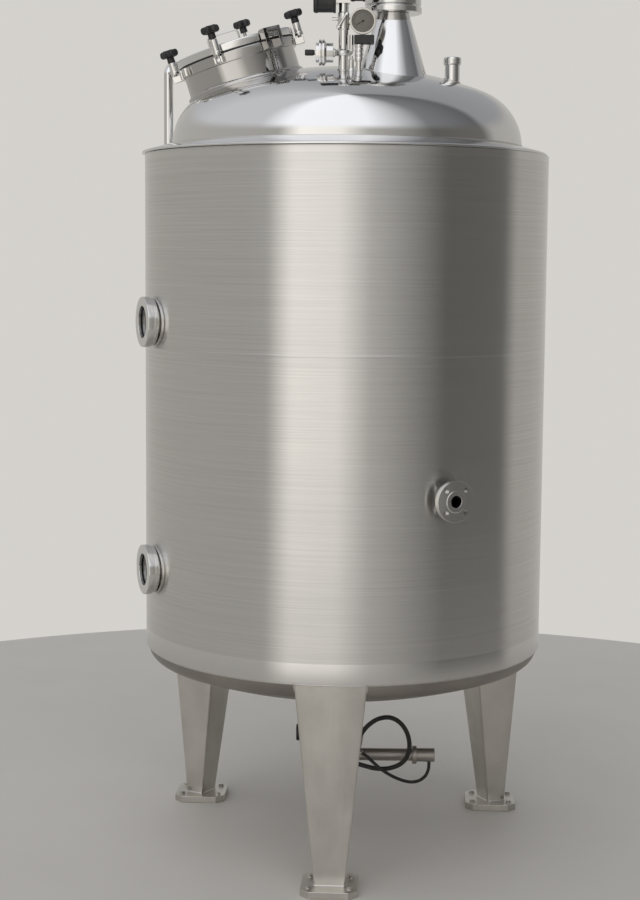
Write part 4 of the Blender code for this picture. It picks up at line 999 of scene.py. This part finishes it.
def make_collar():
    """Manway neck with its flange, the bead where it meets the dome, small lugs and the black gasket."""
    inner = COLLAR_RADIUS - COLLAR_WALL
    corners = [(COLLAR_FLANGE_RADIUS, 0.0), (COLLAR_FLANGE_RADIUS, -COLLAR_FLANGE_THICKNESS),
               (COLLAR_RADIUS, -COLLAR_FLANGE_THICKNESS), (COLLAR_RADIUS, -COLLAR_LENGTH),
               (inner, -COLLAR_LENGTH), (inner, 0.0)]
    shape = placed(spun(corners, 0.0025, 5, 192, closed=True), MANWAY)
    # The neck and its weld take the darker mirror steel, painted shade for the neck's darker reflections
    neck = piece("manway_neck", [shape], SHADED_NECK_MIRROR, ("manway_collar",))
    bored(neck, [under_top_head()])
    fillet = weld(MANWAY, COLLAR_RADIUS - 0.001, COLLAR_BEAD, over_top_head, 192)
    piece("manway_fillet", [fillet], SHADED_NECK_MIRROR)
    lugs = []
    for angle, radius, low, high in COLLAR_LUGS:
        spot = MANWAY @ Matrix.Translation(polar(COLLAR_FLANGE_RADIUS + 0.6 * radius, radians(angle)))
        lugs.append(placed(disc(radius, low, high, 0.002, 40), spot))
    piece("collar_lugs", lugs, BRIGHT)
    outer = COLLAR_FLANGE_RADIUS - 0.001
    gasket = [(outer, GASKET_THICKNESS), (outer, GAP), (inner, GAP), (inner, GASKET_THICKNESS)]
    shape = placed(spun(gasket, SOFT_EDGE, 4, 160, closed=True), MANWAY)
    piece("lid_seal", [shape], RUBBER, ("manway_gasket",))


def lid_z(radius):
    """Top of the lid: edge + rise (1 - (r/R)^2) inside its crowned middle."""
    edge = GASKET_THICKNESS + GAP + LID_THICKNESS
    return edge + LID_RISE * (1 - (np.asarray(radius, float) / LID_CROWN_RADIUS) ** 2)


def make_lid():
    """Lid with a thick flat rim and a shallow crowned middle, and its thin handle on two round feet."""
    low = GASKET_THICKNESS + GAP
    edge = low + LID_THICKNESS
    reach = np.linspace(0.0, LID_CROWN_RADIUS, 14)
    crown = np.stack([reach, lid_z(reach)], axis=-1)
    rim = [(LID_RADIUS - 0.012, edge), (LID_RADIUS, edge), (LID_RADIUS, low), (0.0, low)]
    shape = spun(np.concatenate([crown, rim]), [EDGE] * len(reach) + [0.004, 0.004, 0.003, 0.0], 5, 192)
    piece("lid_plate", [placed(shape, MANWAY)], MIRROR, ("manway_lid",))
    top = float(lid_z(0.0)) + LID_HANDLE_HEIGHT
    ends = [LID_HANDLE_CENTRE - LID_HANDLE_HALF_SPAN, LID_HANDLE_CENTRE + LID_HANDLE_HALF_SPAN]
    feet = [float(lid_z(x)) for x in ends]
    corners = [(ends[0], 0.0, feet[0]), (ends[0], 0.0, top), (ends[1], 0.0, top), (ends[1], 0.0, feet[1])]
    path = eased(corners, LID_HANDLE_TURN, 14, closed=False)
    shapes = [swept(path, circle(LID_HANDLE_RADIUS, 20), Y_AXIS)]
    for x, foot in zip(ends, feet):
        spot = Matrix.Translation((x, 0.0, foot))
        shapes.append(placed(disc(LID_HANDLE_FOOT, -0.001, 0.003, EDGE, 32), spot))
    piece("lid_handle_bar", [placed(shape, MANWAY) for shape in shapes], BRIGHT, ("lid_handle",))


def threaded(radius, low, high):
    """Profile of a stud: the radius falls by the thread's depth at every half pitch."""
    count = 2 * int((high - low) / STUD_PITCH) + 1
    height = np.linspace(high, low, count)
    reach = radius - STUD_THREAD * (np.arange(count) % 2)
    return np.concatenate([[(0.0, high)], np.stack([reach, height], axis=-1), [(0.0, low)]])


def star_head(low):
    """Six-lobed head: r(a) = R - L + L cos 6a, scaled by a rounded profile, hollowed a little on top."""
    turn = np.linspace(0.0, 2 * pi, 144, endpoint=False)
    reach = KNOB_RADIUS - KNOB_LOBE + KNOB_LOBE * np.cos(KNOB_LOBES * turn)
    high = low + KNOB_HEAD_HEIGHT
    side = [(0.0, high - 0.002), (0.60, high - 0.001), (0.86, high), (1.0, high - 0.006), (1.0, low + 0.005),
            (0.80, low), (0.0, low)]
    scale = eased(side, 0.12, 5, closed=False)
    scale[:, 1] = np.clip(scale[:, 1], low, high)
    points = np.empty((len(scale), len(turn), 3))
    points[..., 0] = scale[:, :1] * reach * np.cos(turn)
    points[..., 1] = scale[:, :1] * reach * np.sin(turn)
    points[..., 2] = scale[:, 1:]
    return points.reshape(-1, 3), grid_faces(len(scale), len(turn))


def eye_bolt(reach):
    """Eye round the pin, the threaded stud, and the bright sleeve nut with a collar at its foot."""
    across = Matrix.Rotation(pi / 2, 4, "X")
    eye = placed(ring(EYE_BORE, EYE_RADIUS, -EYE_HALF_WIDTH, EYE_HALF_WIDTH, ROUND_EDGE, 40), across)
    stud = turned(threaded(STUD_RADIUS, EYE_RADIUS - 0.002, reach + KNOB_HUB_HEIGHT), 24, closed=False)
    high = min(reach, SLEEVE_END)
    slim = SLEEVE_RADIUS - 0.001
    sleeve = [(0.0, high), (slim, high), (slim, SLEEVE_START + 0.010), (SLEEVE_RADIUS, SLEEVE_START + 0.008),
              (SLEEVE_RADIUS, SLEEVE_START), (0.0, SLEEVE_START)]
    return [eye, stud, spun(sleeve, ROUND_EDGE, 4, 40)]


def star_knob(seat):
    """Hub, waisted a little at both ends, under the lobed head."""
    top = seat + KNOB_HUB_HEIGHT
    slim = KNOB_HUB_RADIUS - 0.001
    hub = [(0.0, top + 0.003), (slim, top + 0.003), (KNOB_HUB_RADIUS, seat + 0.001), (slim, seat),
           (0.0, seat)]
    return [spun(hub, EDGE, 4, 40), star_head(top)]


def make_swing_bolts():
    """Each swing bolt with its knob, and the bracket that holds its pin."""
    for number, (angle, reach) in enumerate(SWING_BOLTS, start=1):
        turn = radians(angle)
        pivot = MANWAY @ Matrix.Translation(polar(PIVOT_RADIUS, turn, -PIVOT_DROP))
        pivot = pivot @ Matrix.Rotation(turn, 4, "Z")
        body = f"bolt_{number}"
        bolt = [placed(shape, pivot) for shape in eye_bolt(reach)]
        knob = [placed(shape, pivot) for shape in star_knob(reach + GAP)]
        piece(f"eye_bolt_{number}", bolt, BRIGHT, (f"swing_bolt_{number}",), body)
        piece(f"star_knob_{number}", knob, BLACK, (f"bolt_knob_{number}",), body, sharp=50.0)
        rounded_copy(f"swing_bolt_bracket_{number}", SOFT_EDGE, BRIGHT)


def make_sight_fittings():
    """Clamped cover ring over a second flange, a short neck welded to the jacket, dark glass inside."""
    low = -SIGHT_COVER_DEPTH
    seat = low + SIGHT_GLASS_THICKNESS
    cover = [(SIGHT_COVER_RADIUS, 0.0), (SIGHT_COVER_RADIUS, low), (SIGHT_GLASS_RADIUS, low),
             (SIGHT_GLASS_RADIUS, seat), (SIGHT_BORE_RADIUS, seat), (SIGHT_BORE_RADIUS, 0.0)]
    neck = [(SIGHT_FLANGE_RADIUS, low - GAP), (SIGHT_FLANGE_RADIUS, -SIGHT_FLANGE_DEPTH),
            (SIGHT_NECK_RADIUS, -SIGHT_FLANGE_DEPTH), (SIGHT_NECK_RADIUS, SIGHT_NECK_END),
            (SIGHT_BORE_RADIUS, SIGHT_NECK_END), (SIGHT_BORE_RADIUS, low - GAP)]
    pane = disc(SIGHT_GLASS_RADIUS - GAP, low, seat - GAP, FINE_EDGE, 96)
    for level, height in SIGHT_HEIGHTS.items():
        place = facing_out(SIGHT_FACE_RADIUS, SIGHT_AZIMUTH, height)
        piece(f"sight_ring_{level}", [placed(spun(cover, WIDE_EDGE, 5, 128, closed=True), place)], BRIGHT,
              (f"sight_cover_{level}",))
        body = piece(f"sight_body_{level}", [placed(spun(neck, 0.0018, 4, 128, closed=True), place)], BRIGHT,
                     (f"sight_neck_{level}",))
        bored(body, [jacket_core()])
        bead = weld(place, SIGHT_NECK_RADIUS + 0.0005, SIGHT_BEAD, outside_jacket)
        piece(f"sight_weld_{level}", [bead], WELD)
        piece(f"sight_pane_{level}", [placed(pane, place)], DARK_GLASS, (f"sight_glass_{level}",))


def make_front_flange():
    """Raised-face flange with four holes on a short neck that is welded to the jacket."""
    place = facing_out(FLANGE_FACE_RADIUS, FLANGE_AZIMUTH, FLANGE_HEIGHT)
    face = -FLANGE_RAISED_HEIGHT
    back = face - FLANGE_THICKNESS
    corners = [(FLANGE_RAISED_RADIUS, 0.0), (FLANGE_RAISED_RADIUS, face), (FLANGE_RADIUS, face),
               (FLANGE_RADIUS, back), (FLANGE_NECK_RADIUS + 0.006, back), (FLANGE_NECK_RADIUS, back - 0.008),
               (FLANGE_NECK_RADIUS, FLANGE_NECK_END), (FLANGE_BORE, FLANGE_NECK_END), (FLANGE_BORE, 0.0)]
    shape = placed(spun(corners, SOFT_EDGE, 4, 128, closed=True), place)
    flange = piece("inlet_flange", [shape], BRIGHT, ("front_flange",))
    cutters = [jacket_core()]
    for index in range(FLANGE_HOLES):
        spot = Matrix.Translation(polar(FLANGE_HOLE_CIRCLE, 2 * pi * (index + 0.5) / FLANGE_HOLES))
        cutters.append(placed(disc(FLANGE_HOLE_RADIUS, -0.035, 0.02, EDGE, 40), place @ spot))
    bored(flange, cutters)
    bead = weld(place, FLANGE_NECK_RADIUS + 0.0005, FITTING_BEAD, outside_jacket)
    piece("inlet_weld", [bead], WELD)


def lie_along(height):
    """Matrix that turns Z to X, with its origin on the riser's axis at a height."""
    return STAND @ Matrix.Translation((0.0, 0.0, height)) @ Matrix.Rotation(pi / 2, 4, "Y")


def make_riser():
    """Upright tube with its weld, the lower clamp with an arm to its left, and the thin bypass."""
    low = upright(RISER_PLACE)[1] - 0.004
    tube = ring(RISER_RADIUS - RISER_WALL, RISER_RADIUS, low, RISER_TOP, 0.0005, 64)
    piece("riser_pipe", [placed(tube, STAND)], MIRROR, ("riser_tube",))
    bead = weld(STAND, RISER_RADIUS + 0.0005, FITTING_BEAD, over_top_head, 64)
    piece("riser_weld", [bead], WELD)
    seat = RISER_RADIUS + GAP
    slim = CLAMP_RADIUS - 0.006
    body = [(seat, CLAMP_HEIGHT - CLAMP_HALF), (slim, CLAMP_HEIGHT - CLAMP_HALF),
            (CLAMP_RADIUS, CLAMP_HEIGHT - 0.003), (CLAMP_RADIUS, CLAMP_HEIGHT + 0.003),
            (slim, CLAMP_HEIGHT + CLAMP_HALF), (seat, CLAMP_HEIGHT + CLAMP_HALF)]
    collar = CLAMP_ARM_RADIUS + 0.003
    arm = [(0.0, -0.019), (CLAMP_ARM_RADIUS, -0.019), (CLAMP_ARM_RADIUS, 0.006 - CLAMP_ARM_REACH),
           (collar, 0.004 - CLAMP_ARM_REACH), (collar, -CLAMP_ARM_REACH), (0.0, -CLAMP_ARM_REACH)]
    elbow = [(0.0145, 0.0, CLAMP_HEIGHT), (BYPASS_REACH, 0.0, CLAMP_HEIGHT), (BYPASS_REACH, 0.0, BYPASS_TOP)]
    bypass = swept(eased(elbow, 0.006, 10, closed=False), circle(BYPASS_RADIUS, 24), Y_AXIS)
    shapes = [placed(spun(body, SOFT_EDGE, 4, 64, closed=True), STAND),
              placed(spun(arm, EDGE, 4, 40), lie_along(CLAMP_HEIGHT)), placed(bypass, STAND)]
    piece("riser_collar", shapes, BRIGHT, ("riser_clamp",))
    foot = upright((RISER_PLACE[0] + BYPASS_REACH, RISER_PLACE[1]))[1]
    pin, nut, base = BYPASS_FOOT
    socket = [(0.0, CLAMP_HEIGHT - 0.008), (pin, CLAMP_HEIGHT - 0.008), (pin, foot + 0.030),
              (nut, foot + 0.028), (nut, foot + 0.004), (base, foot - 0.003), (0.0, foot - 0.003)]
    small = placed(spun(socket, EDGE, 4, 40), STAND @ Matrix.Translation((BYPASS_REACH, 0.0, 0.0)))
    piece("bypass_foot", [small], BRIGHT)


def make_side_valve():
    """Drum-shaped valve body lying along -X with a wide grooved flange, and its small black knob."""
    turn = Matrix.Rotation(-pi / 2, 4, "Y")
    place = STAND @ Matrix.Translation((-CLAMP_ARM_REACH - GAP, 0.0, CLAMP_HEIGHT)) @ turn
    low, high = SIDE_KNOB_DEPTHS
    wide = SIDE_VALVE_RADIUS
    groove = wide - SIDE_VALVE_GROOVE
    stem = 0.7 * SIDE_KNOB_RADIUS
    ends = 0.75 * wide
    side = [(ends, 1.0), (ends, 0.82), (wide, 0.82), (wide, 0.70), (groove, 0.68), (groove, 0.64),
            (wide, 0.62), (wide, 0.50), (ends, 0.40), (ends, 0.0)]
    body = [(0.0, low), (stem, low), (stem, SIDE_VALVE_DEPTH),
            *((radius, share * SIDE_VALVE_DEPTH) for radius, share in side), (0.0, 0.0)]
    piece("side_valve_body", [placed(spun(body, EDGE, 4, 96), place)], BRIGHT, ("side_valve",))
    knob = [(0.0, high), (SIDE_KNOB_RADIUS - 0.001, high), (SIDE_KNOB_RADIUS, high - 0.004),
            (SIDE_KNOB_RADIUS, low + 0.006), (SIDE_KNOB_RADIUS - 0.002, low + GAP), (0.0, low + GAP)]
    piece("side_valve_grip", [placed(spun(knob, SOFT_EDGE, 4, 48), place)], BLACK, ("side_valve_knob",))


def make_dial_holder():
    """Cross on the riser with the arm to the dial, a short lever, and a leaning clamp bolt with two nuts."""
    low = CROSS_HEIGHT - CROSS_HALF
    high = CROSS_HEIGHT + CROSS_HALF
    slim = CROSS_RADIUS - 0.003
    seat = RISER_RADIUS + GAP
    body = [(seat, low), (slim, low), (CROSS_RADIUS, low + 0.003), (CROSS_RADIUS, high - 0.003), (slim, high),
            (seat, high)]
    arm = disc(CROSS_ARM_RADIUS, RISER_RADIUS + 0.0015, CROSS_ARM_REACH, EDGE, 40)
    lever = disc(0.0042, -CROSS_RADIUS - 0.016, -CROSS_RADIUS + 0.002, EDGE, 24)
    lean = Matrix.Rotation(CLAMP_BOLT_LEAN, 4, "Y")
    bolt = STAND @ Matrix.Translation((-0.003, -CROSS_RADIUS - 0.004, CROSS_HEIGHT)) @ lean
    shapes = [placed(spun(body, EDGE, 4, 64, closed=True), STAND), placed(arm, lie_along(CROSS_HEIGHT)),
              placed(lever, lie_along(LEVER_HEIGHT)),
              placed(disc(0.0035, -0.027, 0.027, FINE_EDGE, 24), bolt)]
    for start in (-0.024, 0.018):
        shapes.append(placed(disc(0.0070, start, start + 0.006, EDGE, 6), bolt))
    piece("dial_holder", shapes, BRIGHT, ("riser_cross",))


def make_dial():
    """Round case with a rim, the card sunk inside it, its ticks and one pointer."""
    place = STAND @ Matrix.Translation((DIAL_REACH, 0.0, CROSS_HEIGHT)) @ Matrix.Rotation(pi / 2, 4, "X")
    face = DIAL_HALF - DIAL_RECESS
    slim = DIAL_RADIUS - 0.002
    case = [(0.0, face), (DIAL_FACE_RADIUS, face), (DIAL_FACE_RADIUS, DIAL_HALF), (DIAL_RADIUS, DIAL_HALF),
            (DIAL_RADIUS, DIAL_HALF - 0.006), (slim, DIAL_HALF - 0.008), (slim, -DIAL_HALF),
            (0.0, -DIAL_HALF)]
    piece("dial_case", [placed(spun(case, SOFT_EDGE, 5, 96), place)], SATIN, ("round_dial",))
    card = disc(DIAL_FACE_RADIUS - GAP, face, face + 0.0006, 0.0002, 72)
    piece("dial_face", [placed(card, place)], CARD)
    marks = []
    for turn in np.linspace(-DIAL_SWEEP, DIAL_SWEEP, DIAL_TICKS):
        spoke = Matrix.Rotation(turn, 4, "Z") @ Matrix.Translation((0.0, DIAL_TICK_REACH, face + 0.0008))
        marks.append(placed(box(DIAL_TICK, (0.0, 0.0, 0.0)), place @ spoke))
    pointer = place @ Matrix.Rotation(DIAL_READING, 4, "Z")
    marks.append(placed(box(DIAL_POINTER, (0.0, 0.008, face + 0.0016)), pointer))
    marks.append(placed(disc(0.003, face, face + 0.0024, 0.0004, 24), place))
    piece("dial_marks", marks, BLACK)


def make_actuator():
    """Two black ribbed drums, one each side of the riser, on the steel block that holds them."""
    for name, start, end, radius, height in ACTUATORS:
        groove = radius - ACTUATOR_GROOVE
        corners = [(0.0, start), (radius - 0.004, start), (radius, start + 0.004), (radius, start + 0.012),
                   (groove, start + 0.013), (groove, end - 0.007), (radius, end - 0.006),
                   (radius, end), (0.0, end)]
        piece(f"{name}_body", [placed(spun(corners, FINE_EDGE, 4, 72), lie_along(height))], BLACK, (name,))
    rounded_copy("actuator_block", ROUND_EDGE, BRIGHT)


def make_ribbed_nozzle():
    """Small nozzle with ribs r = R - groove |cos(pi s)|^6 along its height, and its black head."""
    place, foot = upright(RIBBED_PLACE)
    low = foot - 0.003
    height = np.linspace(RIBBED_LOW, RIBBED_HIGH - 0.003, 12 * RIBBED_RIBS)
    share = np.mod((height - RIBBED_LOW) / (RIBBED_HIGH - RIBBED_LOW) * RIBBED_RIBS, 1.0)
    reach = RIBBED_RADIUS - RIBBED_GROOVE * np.abs(np.cos(pi * share)) ** 6
    profile = np.concatenate([[(0.0, low), (RIBBED_NECK_RADIUS, low), (RIBBED_NECK_RADIUS, RIBBED_LOW)],
                              np.stack([reach, height], axis=-1), [(0.0, height[-1])]])
    piece("ribbed_fitting", [placed(turned(profile, 56, closed=False), place)], BRIGHT, ("ribbed_nozzle",))
    bead = weld(place, RIBBED_NECK_RADIUS + 0.0005, RIBBED_BEAD, over_top_head, 48)
    piece("ribbed_weld", [bead], WELD)
    rounded_copy("ribbed_nozzle_head", 0.0025, BLACK)


def make_cone():
    """Plain cone welded straight on the dome, rolled at its top, and the drive flange with its groove."""
    place, foot = upright(CONE_PLACE)
    slope = (CONE_FOOT_RADIUS - CONE_TOP_RADIUS) / (CONE_TOP - foot)
    low = foot - 0.04
    outer = CONE_FOOT_RADIUS + slope * (foot - low)
    side = [(CONE_TOP_RADIUS, CONE_TOP), (CONE_TOP_RADIUS + 0.001, CONE_TOP - 0.004), (outer, low),
            (outer - CONE_WALL, low), (CONE_TOP_RADIUS - CONE_WALL, CONE_TOP)]
    shape = placed(spun(side, SOFT_EDGE, 4, 160, closed=True), place)
    cone = piece("plain_cone", [shape], MIRROR, ("stirrer_cone",))
    bored(cone, [under_top_head()])
    piece("cone_weld", [weld(place, CONE_FOOT_RADIUS + 0.0005, CONE_BEAD, over_top_head)], WELD)
    base = CONE_TOP + GAP
    first, second, top = (base + step for step in DRIVE_STEPS)
    drive = [(DRIVE_UPPER_RADIUS, top), (DRIVE_UPPER_RADIUS, second), (DRIVE_GROOVE_RADIUS, second),
             (DRIVE_GROOVE_RADIUS, first), (DRIVE_RADIUS, first), (DRIVE_RADIUS, base), (DRIVE_BORE, base),
             (DRIVE_BORE, top)]
    shape = placed(spun(drive, WIDE_EDGE, 5, 160, closed=True), place)
    piece("drive_mount", [shape], MIRROR, ("drive_flange",))


def make_vent():
    """Short nozzle welded to the dome with a union nut on it."""
    place, foot = upright(VENT_PLACE)
    bore = VENT_RADIUS - VENT_WALL
    shoulder = foot + VENT_HEIGHT
    pipe = placed(ring(bore, VENT_RADIUS, foot - 0.006, shoulder, FINE_EDGE, 72), place)
    piece("vent_pipe", [pipe], MIRROR, ("vent_nozzle",))
    bead = weld(place, VENT_RADIUS + 0.0005, FITTING_BEAD, over_top_head, 96)
    piece("vent_weld", [bead], WELD)
    low = shoulder + GAP
    high = low + UNION_HEIGHT
    slim = UNION_RADIUS - 0.002
    nut = [(slim, high), (UNION_RADIUS, high - UNION_CHAMFER), (UNION_RADIUS, low + UNION_CHAMFER),
           (slim, low), (bore, low), (bore, high)]
    piece("vent_nut", [placed(spun(nut, ROUND_EDGE, 4, 72, closed=True), place)], BRIGHT, ("vent_union",))


def make_gooseneck():
    """Jacket vent: straight up, over in a half turn, and a short end, with a weld at its foot."""
    x, y = GOOSENECK_PLACE
    outward = polar(1.0, GOOSENECK_HEADING)
    turn = np.linspace(0.0, pi, 40)
    over = GOOSENECK_BEND * (1 - np.cos(turn))
    rise = GOOSENECK_RISE + GOOSENECK_BEND * np.sin(turn)
    bend = np.stack([x + over * outward.x, y + over * outward.y, rise], axis=-1)
    share = (JACKET_RADIUS - sqrt(x * x + y * y)) / (JACKET_RADIUS - VESSEL_RADIUS)
    foot = JACKET_TOP + RING_EDGE + RING_RISE * share
    path = np.concatenate([[(x, y, foot - 0.001)], bend, [bend[-1] - (0.0, 0.0, GOOSENECK_END)]])
    across = (-outward.y, outward.x, 0.0)
    pipe = placed(swept(path, circle(GOOSENECK_RADIUS, 40), across), TANK)
    piece("gooseneck_pipe", [pipe], MIRROR, ("jacket_vent_gooseneck",))
    bead = level_bead(GOOSENECK_RADIUS + 0.0005, 0.0, GOOSENECK_BEAD, 48)
    piece("gooseneck_weld", [placed(bead, TANK @ Matrix.Translation((x, y, foot)))], WELD)


def make_outlet():
    """Pipe with its ferrule, and the cast valve body, wide in its middle."""
    dish = float(dish_height(VESSEL_RADIUS, VESSEL_BOTTOM_CROWN, VESSEL_BOTTOM_KNUCKLE, OUTLET_RADIUS))
    high = VESSEL_BOTTOM - dish - 0.002
    outer = OUTLET_RADIUS - 0.002
    inner = outer - OUTLET_WALL
    pipe = [(outer, high), (outer, OUTLET_END + 0.014), (OUTLET_FERRULE_RADIUS, OUTLET_END + 0.008),
            (OUTLET_FERRULE_RADIUS, OUTLET_END), (inner, OUTLET_END), (inner, high)]
    piece("outlet_tube", [placed(spun(pipe, ROUND_EDGE, 4, 96, closed=True), TANK)], BRIGHT, ("outlet_pipe",))
    top = OUTLET_END - GAP
    side = [(radius, top - drop) for radius, drop in VALVE_STEPS]
    body = [(0.0, top), *side, (0.0, side[-1][1])]
    piece("valve_casting", [placed(spun(body, VALVE_EASE, 8, 96), TANK)], CAST, ("outlet_valve",), sharp=40.0)


def make_branch():
    """Side branch with its ferrule and cap, and the glands that hold the hoses."""
    along = TANK @ Matrix.Translation((0.0, 0.0, BRANCH_HEIGHT)) @ Matrix.Rotation(pi / 2, 4, "Y")
    shapes = [placed(disc(BRANCH_RADIUS, 0.030, BRANCH_END, EDGE, 48), along)]
    for radius, start, end in (BRANCH_FERRULE, BRANCH_CAP):
        shapes.append(placed(disc(radius, start, end, 0.002, 56), along))
    for name, first, second in (("black_hose", 0, 1), ("black_hose", -1, -2), ("black_cable", 0, 1)):
        radius, points = HOSES[name]
        start = Vector(points[first])
        out = (Vector(points[second]) - start).normalized()
        nut = radius + GLAND_GROW
        profile = [(0.0, -GAP), (nut - ROUND_EDGE, -GAP), (nut, -0.004), (nut, -GLAND_LENGTH),
                   (0.0, -GLAND_LENGTH)]
        shapes.append(placed(spun(profile, EDGE, 4, 32), TANK @ heading(out, start)))
    piece("outlet_branch", shapes, CAST)


def make_sensor():
    """Black drum on the valve's left side, stepped in where it meets the casting."""
    start, end = SENSOR_REACH
    slim = SENSOR_RADIUS - 0.006
    corners = [(0.0, start + GAP), (SENSOR_RADIUS - 0.003, start + GAP), (SENSOR_RADIUS, start + 0.003),
               (SENSOR_RADIUS, end - 0.010), (slim, end - 0.008), (slim, end - GAP), (0.0, end - GAP)]
    lying = TANK @ Matrix.Translation((0.0, 0.0, SENSOR_HEIGHT)) @ Matrix.Rotation(pi / 2, 4, "Y")
    piece("valve_head", [placed(spun(corners, EDGE, 4, 56), lying)], BLACK, ("valve_sensor",))


def dress_plain_nodes():
    """The vessel inside the jacket keeps its CAD shape, and the lid's hinge gets eased edges."""
    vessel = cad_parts["inner_vessel"]
    vessel.data.materials.clear()
    vessel.data.materials.append(SATIN)
    # The hinge takes the neck's darker mirror steel, painted shade
    rounded_copy("lid_hinge_bracket", 0.0025, SHADED_NECK_MIRROR)
    rounded_copy("lid_hinge_strap", 0.0025, SHADED_NECK_MIRROR)


# Soft studio light by azimuth from the front to the right: pale surround, one bright strip, one dark side
LOW_LIGHT = ((-180, 0.52), (-44, 0.46), (-30, 1.25), (-4, 1.15), (14, 0.55), (58, 0.14), (100, 0.17),
             (112, 0.48), (180, 0.52))
HIGH_LIGHT = ((-180, 0.40), (-110, 0.70), (-60, 0.70), (-40, 1.25), (14, 1.20), (56, 0.25), (98, 0.15),
              (106, 0.35), (180, 0.40))
LOW_TINT = (1.0, 0.97, 0.92)
HIGH_TINT = (0.97, 0.985, 1.03)
HIGH_EDGE = (0.26, 0.46)
BACKDROP = (0.66, 0.64, 0.61)
FLOOR_RADIUS = 3.0
FLOOR_DEPTHS = (-0.02, -0.0005)


def light_ramp(tree, source, levels, tone):
    """Brightness round the tank: the levels at their azimuths, straight runs between them, times the tone."""
    ramp = tree.nodes.new("ShaderNodeValToRGB")
    stops = ramp.color_ramp.elements
    while len(stops) > 1:
        stops.remove(stops[-1])
    for number, (azimuth, level) in enumerate(levels):
        spot = (azimuth + 180.0) / 360.0
        stop = stops[0] if number == 0 else stops.new(spot)
        stop.position = spot
        stop.color = (*(level * share for share in tone), 1.0)
    tree.links.new(source, ramp.inputs["Fac"])
    return ramp.outputs["Color"]


def calculate(tree, operation, first, second=None):
    node = tree.nodes.new("ShaderNodeMath")
    node.operation = operation
    for socket, value in zip(node.inputs, (first, second)):
        if isinstance(value, float):
            socket.default_value = value
        elif value is not None:
            tree.links.new(value, socket)
    return node.outputs["Value"]


def make_light():
    """Soft studio light round the tank, a low and a high part, and a plain backdrop for the camera."""
    world = bpy.data.worlds.new("soft_room")
    bpy.context.scene.world = world
    world.use_nodes = True
    tree = world.node_tree
    tree.nodes.clear()
    where = tree.nodes.new("ShaderNodeTexCoord")
    parts = tree.nodes.new("ShaderNodeSeparateXYZ")
    tree.links.new(where.outputs["Generated"], parts.inputs["Vector"])
    back = calculate(tree, "MULTIPLY", parts.outputs["Y"], -1.0)
    turn = calculate(tree, "ARCTAN2", parts.outputs["X"], back)
    share = calculate(tree, "ADD", calculate(tree, "DIVIDE", turn, 2 * pi), 0.5)
    rise = tree.nodes.new("ShaderNodeMapRange")
    rise.interpolation_type = "SMOOTHSTEP"
    rise.inputs["From Min"].default_value, rise.inputs["From Max"].default_value = HIGH_EDGE
    tree.links.new(parts.outputs["Z"], rise.inputs["Value"])
    mix = tree.nodes.new("ShaderNodeMix")
    mix.data_type = "RGBA"
    tree.links.new(rise.outputs["Result"], mix.inputs[0])
    tree.links.new(light_ramp(tree, share, LOW_LIGHT, LOW_TINT), mix.inputs[6])
    tree.links.new(light_ramp(tree, share, HIGH_LIGHT, HIGH_TINT), mix.inputs[7])
    light = tree.nodes.new("ShaderNodeBackground")
    tree.links.new(mix.outputs[2], light.inputs["Color"])
    plain = tree.nodes.new("ShaderNodeBackground")
    plain.inputs["Color"].default_value = (*BACKDROP, 1.0)
    ray = tree.nodes.new("ShaderNodeLightPath")
    choose = tree.nodes.new("ShaderNodeMixShader")
    tree.links.new(ray.outputs["Is Camera Ray"], choose.inputs[0])
    tree.links.new(light.outputs["Background"], choose.inputs[1])
    tree.links.new(plain.outputs["Background"], choose.inputs[2])
    output = tree.nodes.new("ShaderNodeOutputWorld")
    tree.links.new(choose.outputs["Shader"], output.inputs["Surface"])


def make_floor():
    """A wide plain disc just under the foot plates."""
    low, high = FLOOR_DEPTHS
    item = new_object("studio_floor", mesh_of("studio_floor", *disc(FLOOR_RADIUS, low, high, EDGE, 256)))
    item.data.materials.append(pale_floor())


make_camera()
for make in (make_hoses, make_jacket, make_closing_ring, make_top_dish, make_bottom_dish, make_legs,
             make_foot_plates, make_collar, make_lid, make_swing_bolts, make_sight_fittings,
             make_front_flange, make_riser, make_side_valve, make_dial_holder, make_dial, make_actuator,
             make_ribbed_nozzle, make_cone, make_vent, make_gooseneck, make_outlet, make_branch, make_sensor):
    make()
dress_plain_nodes()
make_light()
make_floor()
bpy.context.scene.view_settings.view_transform = "Standard"
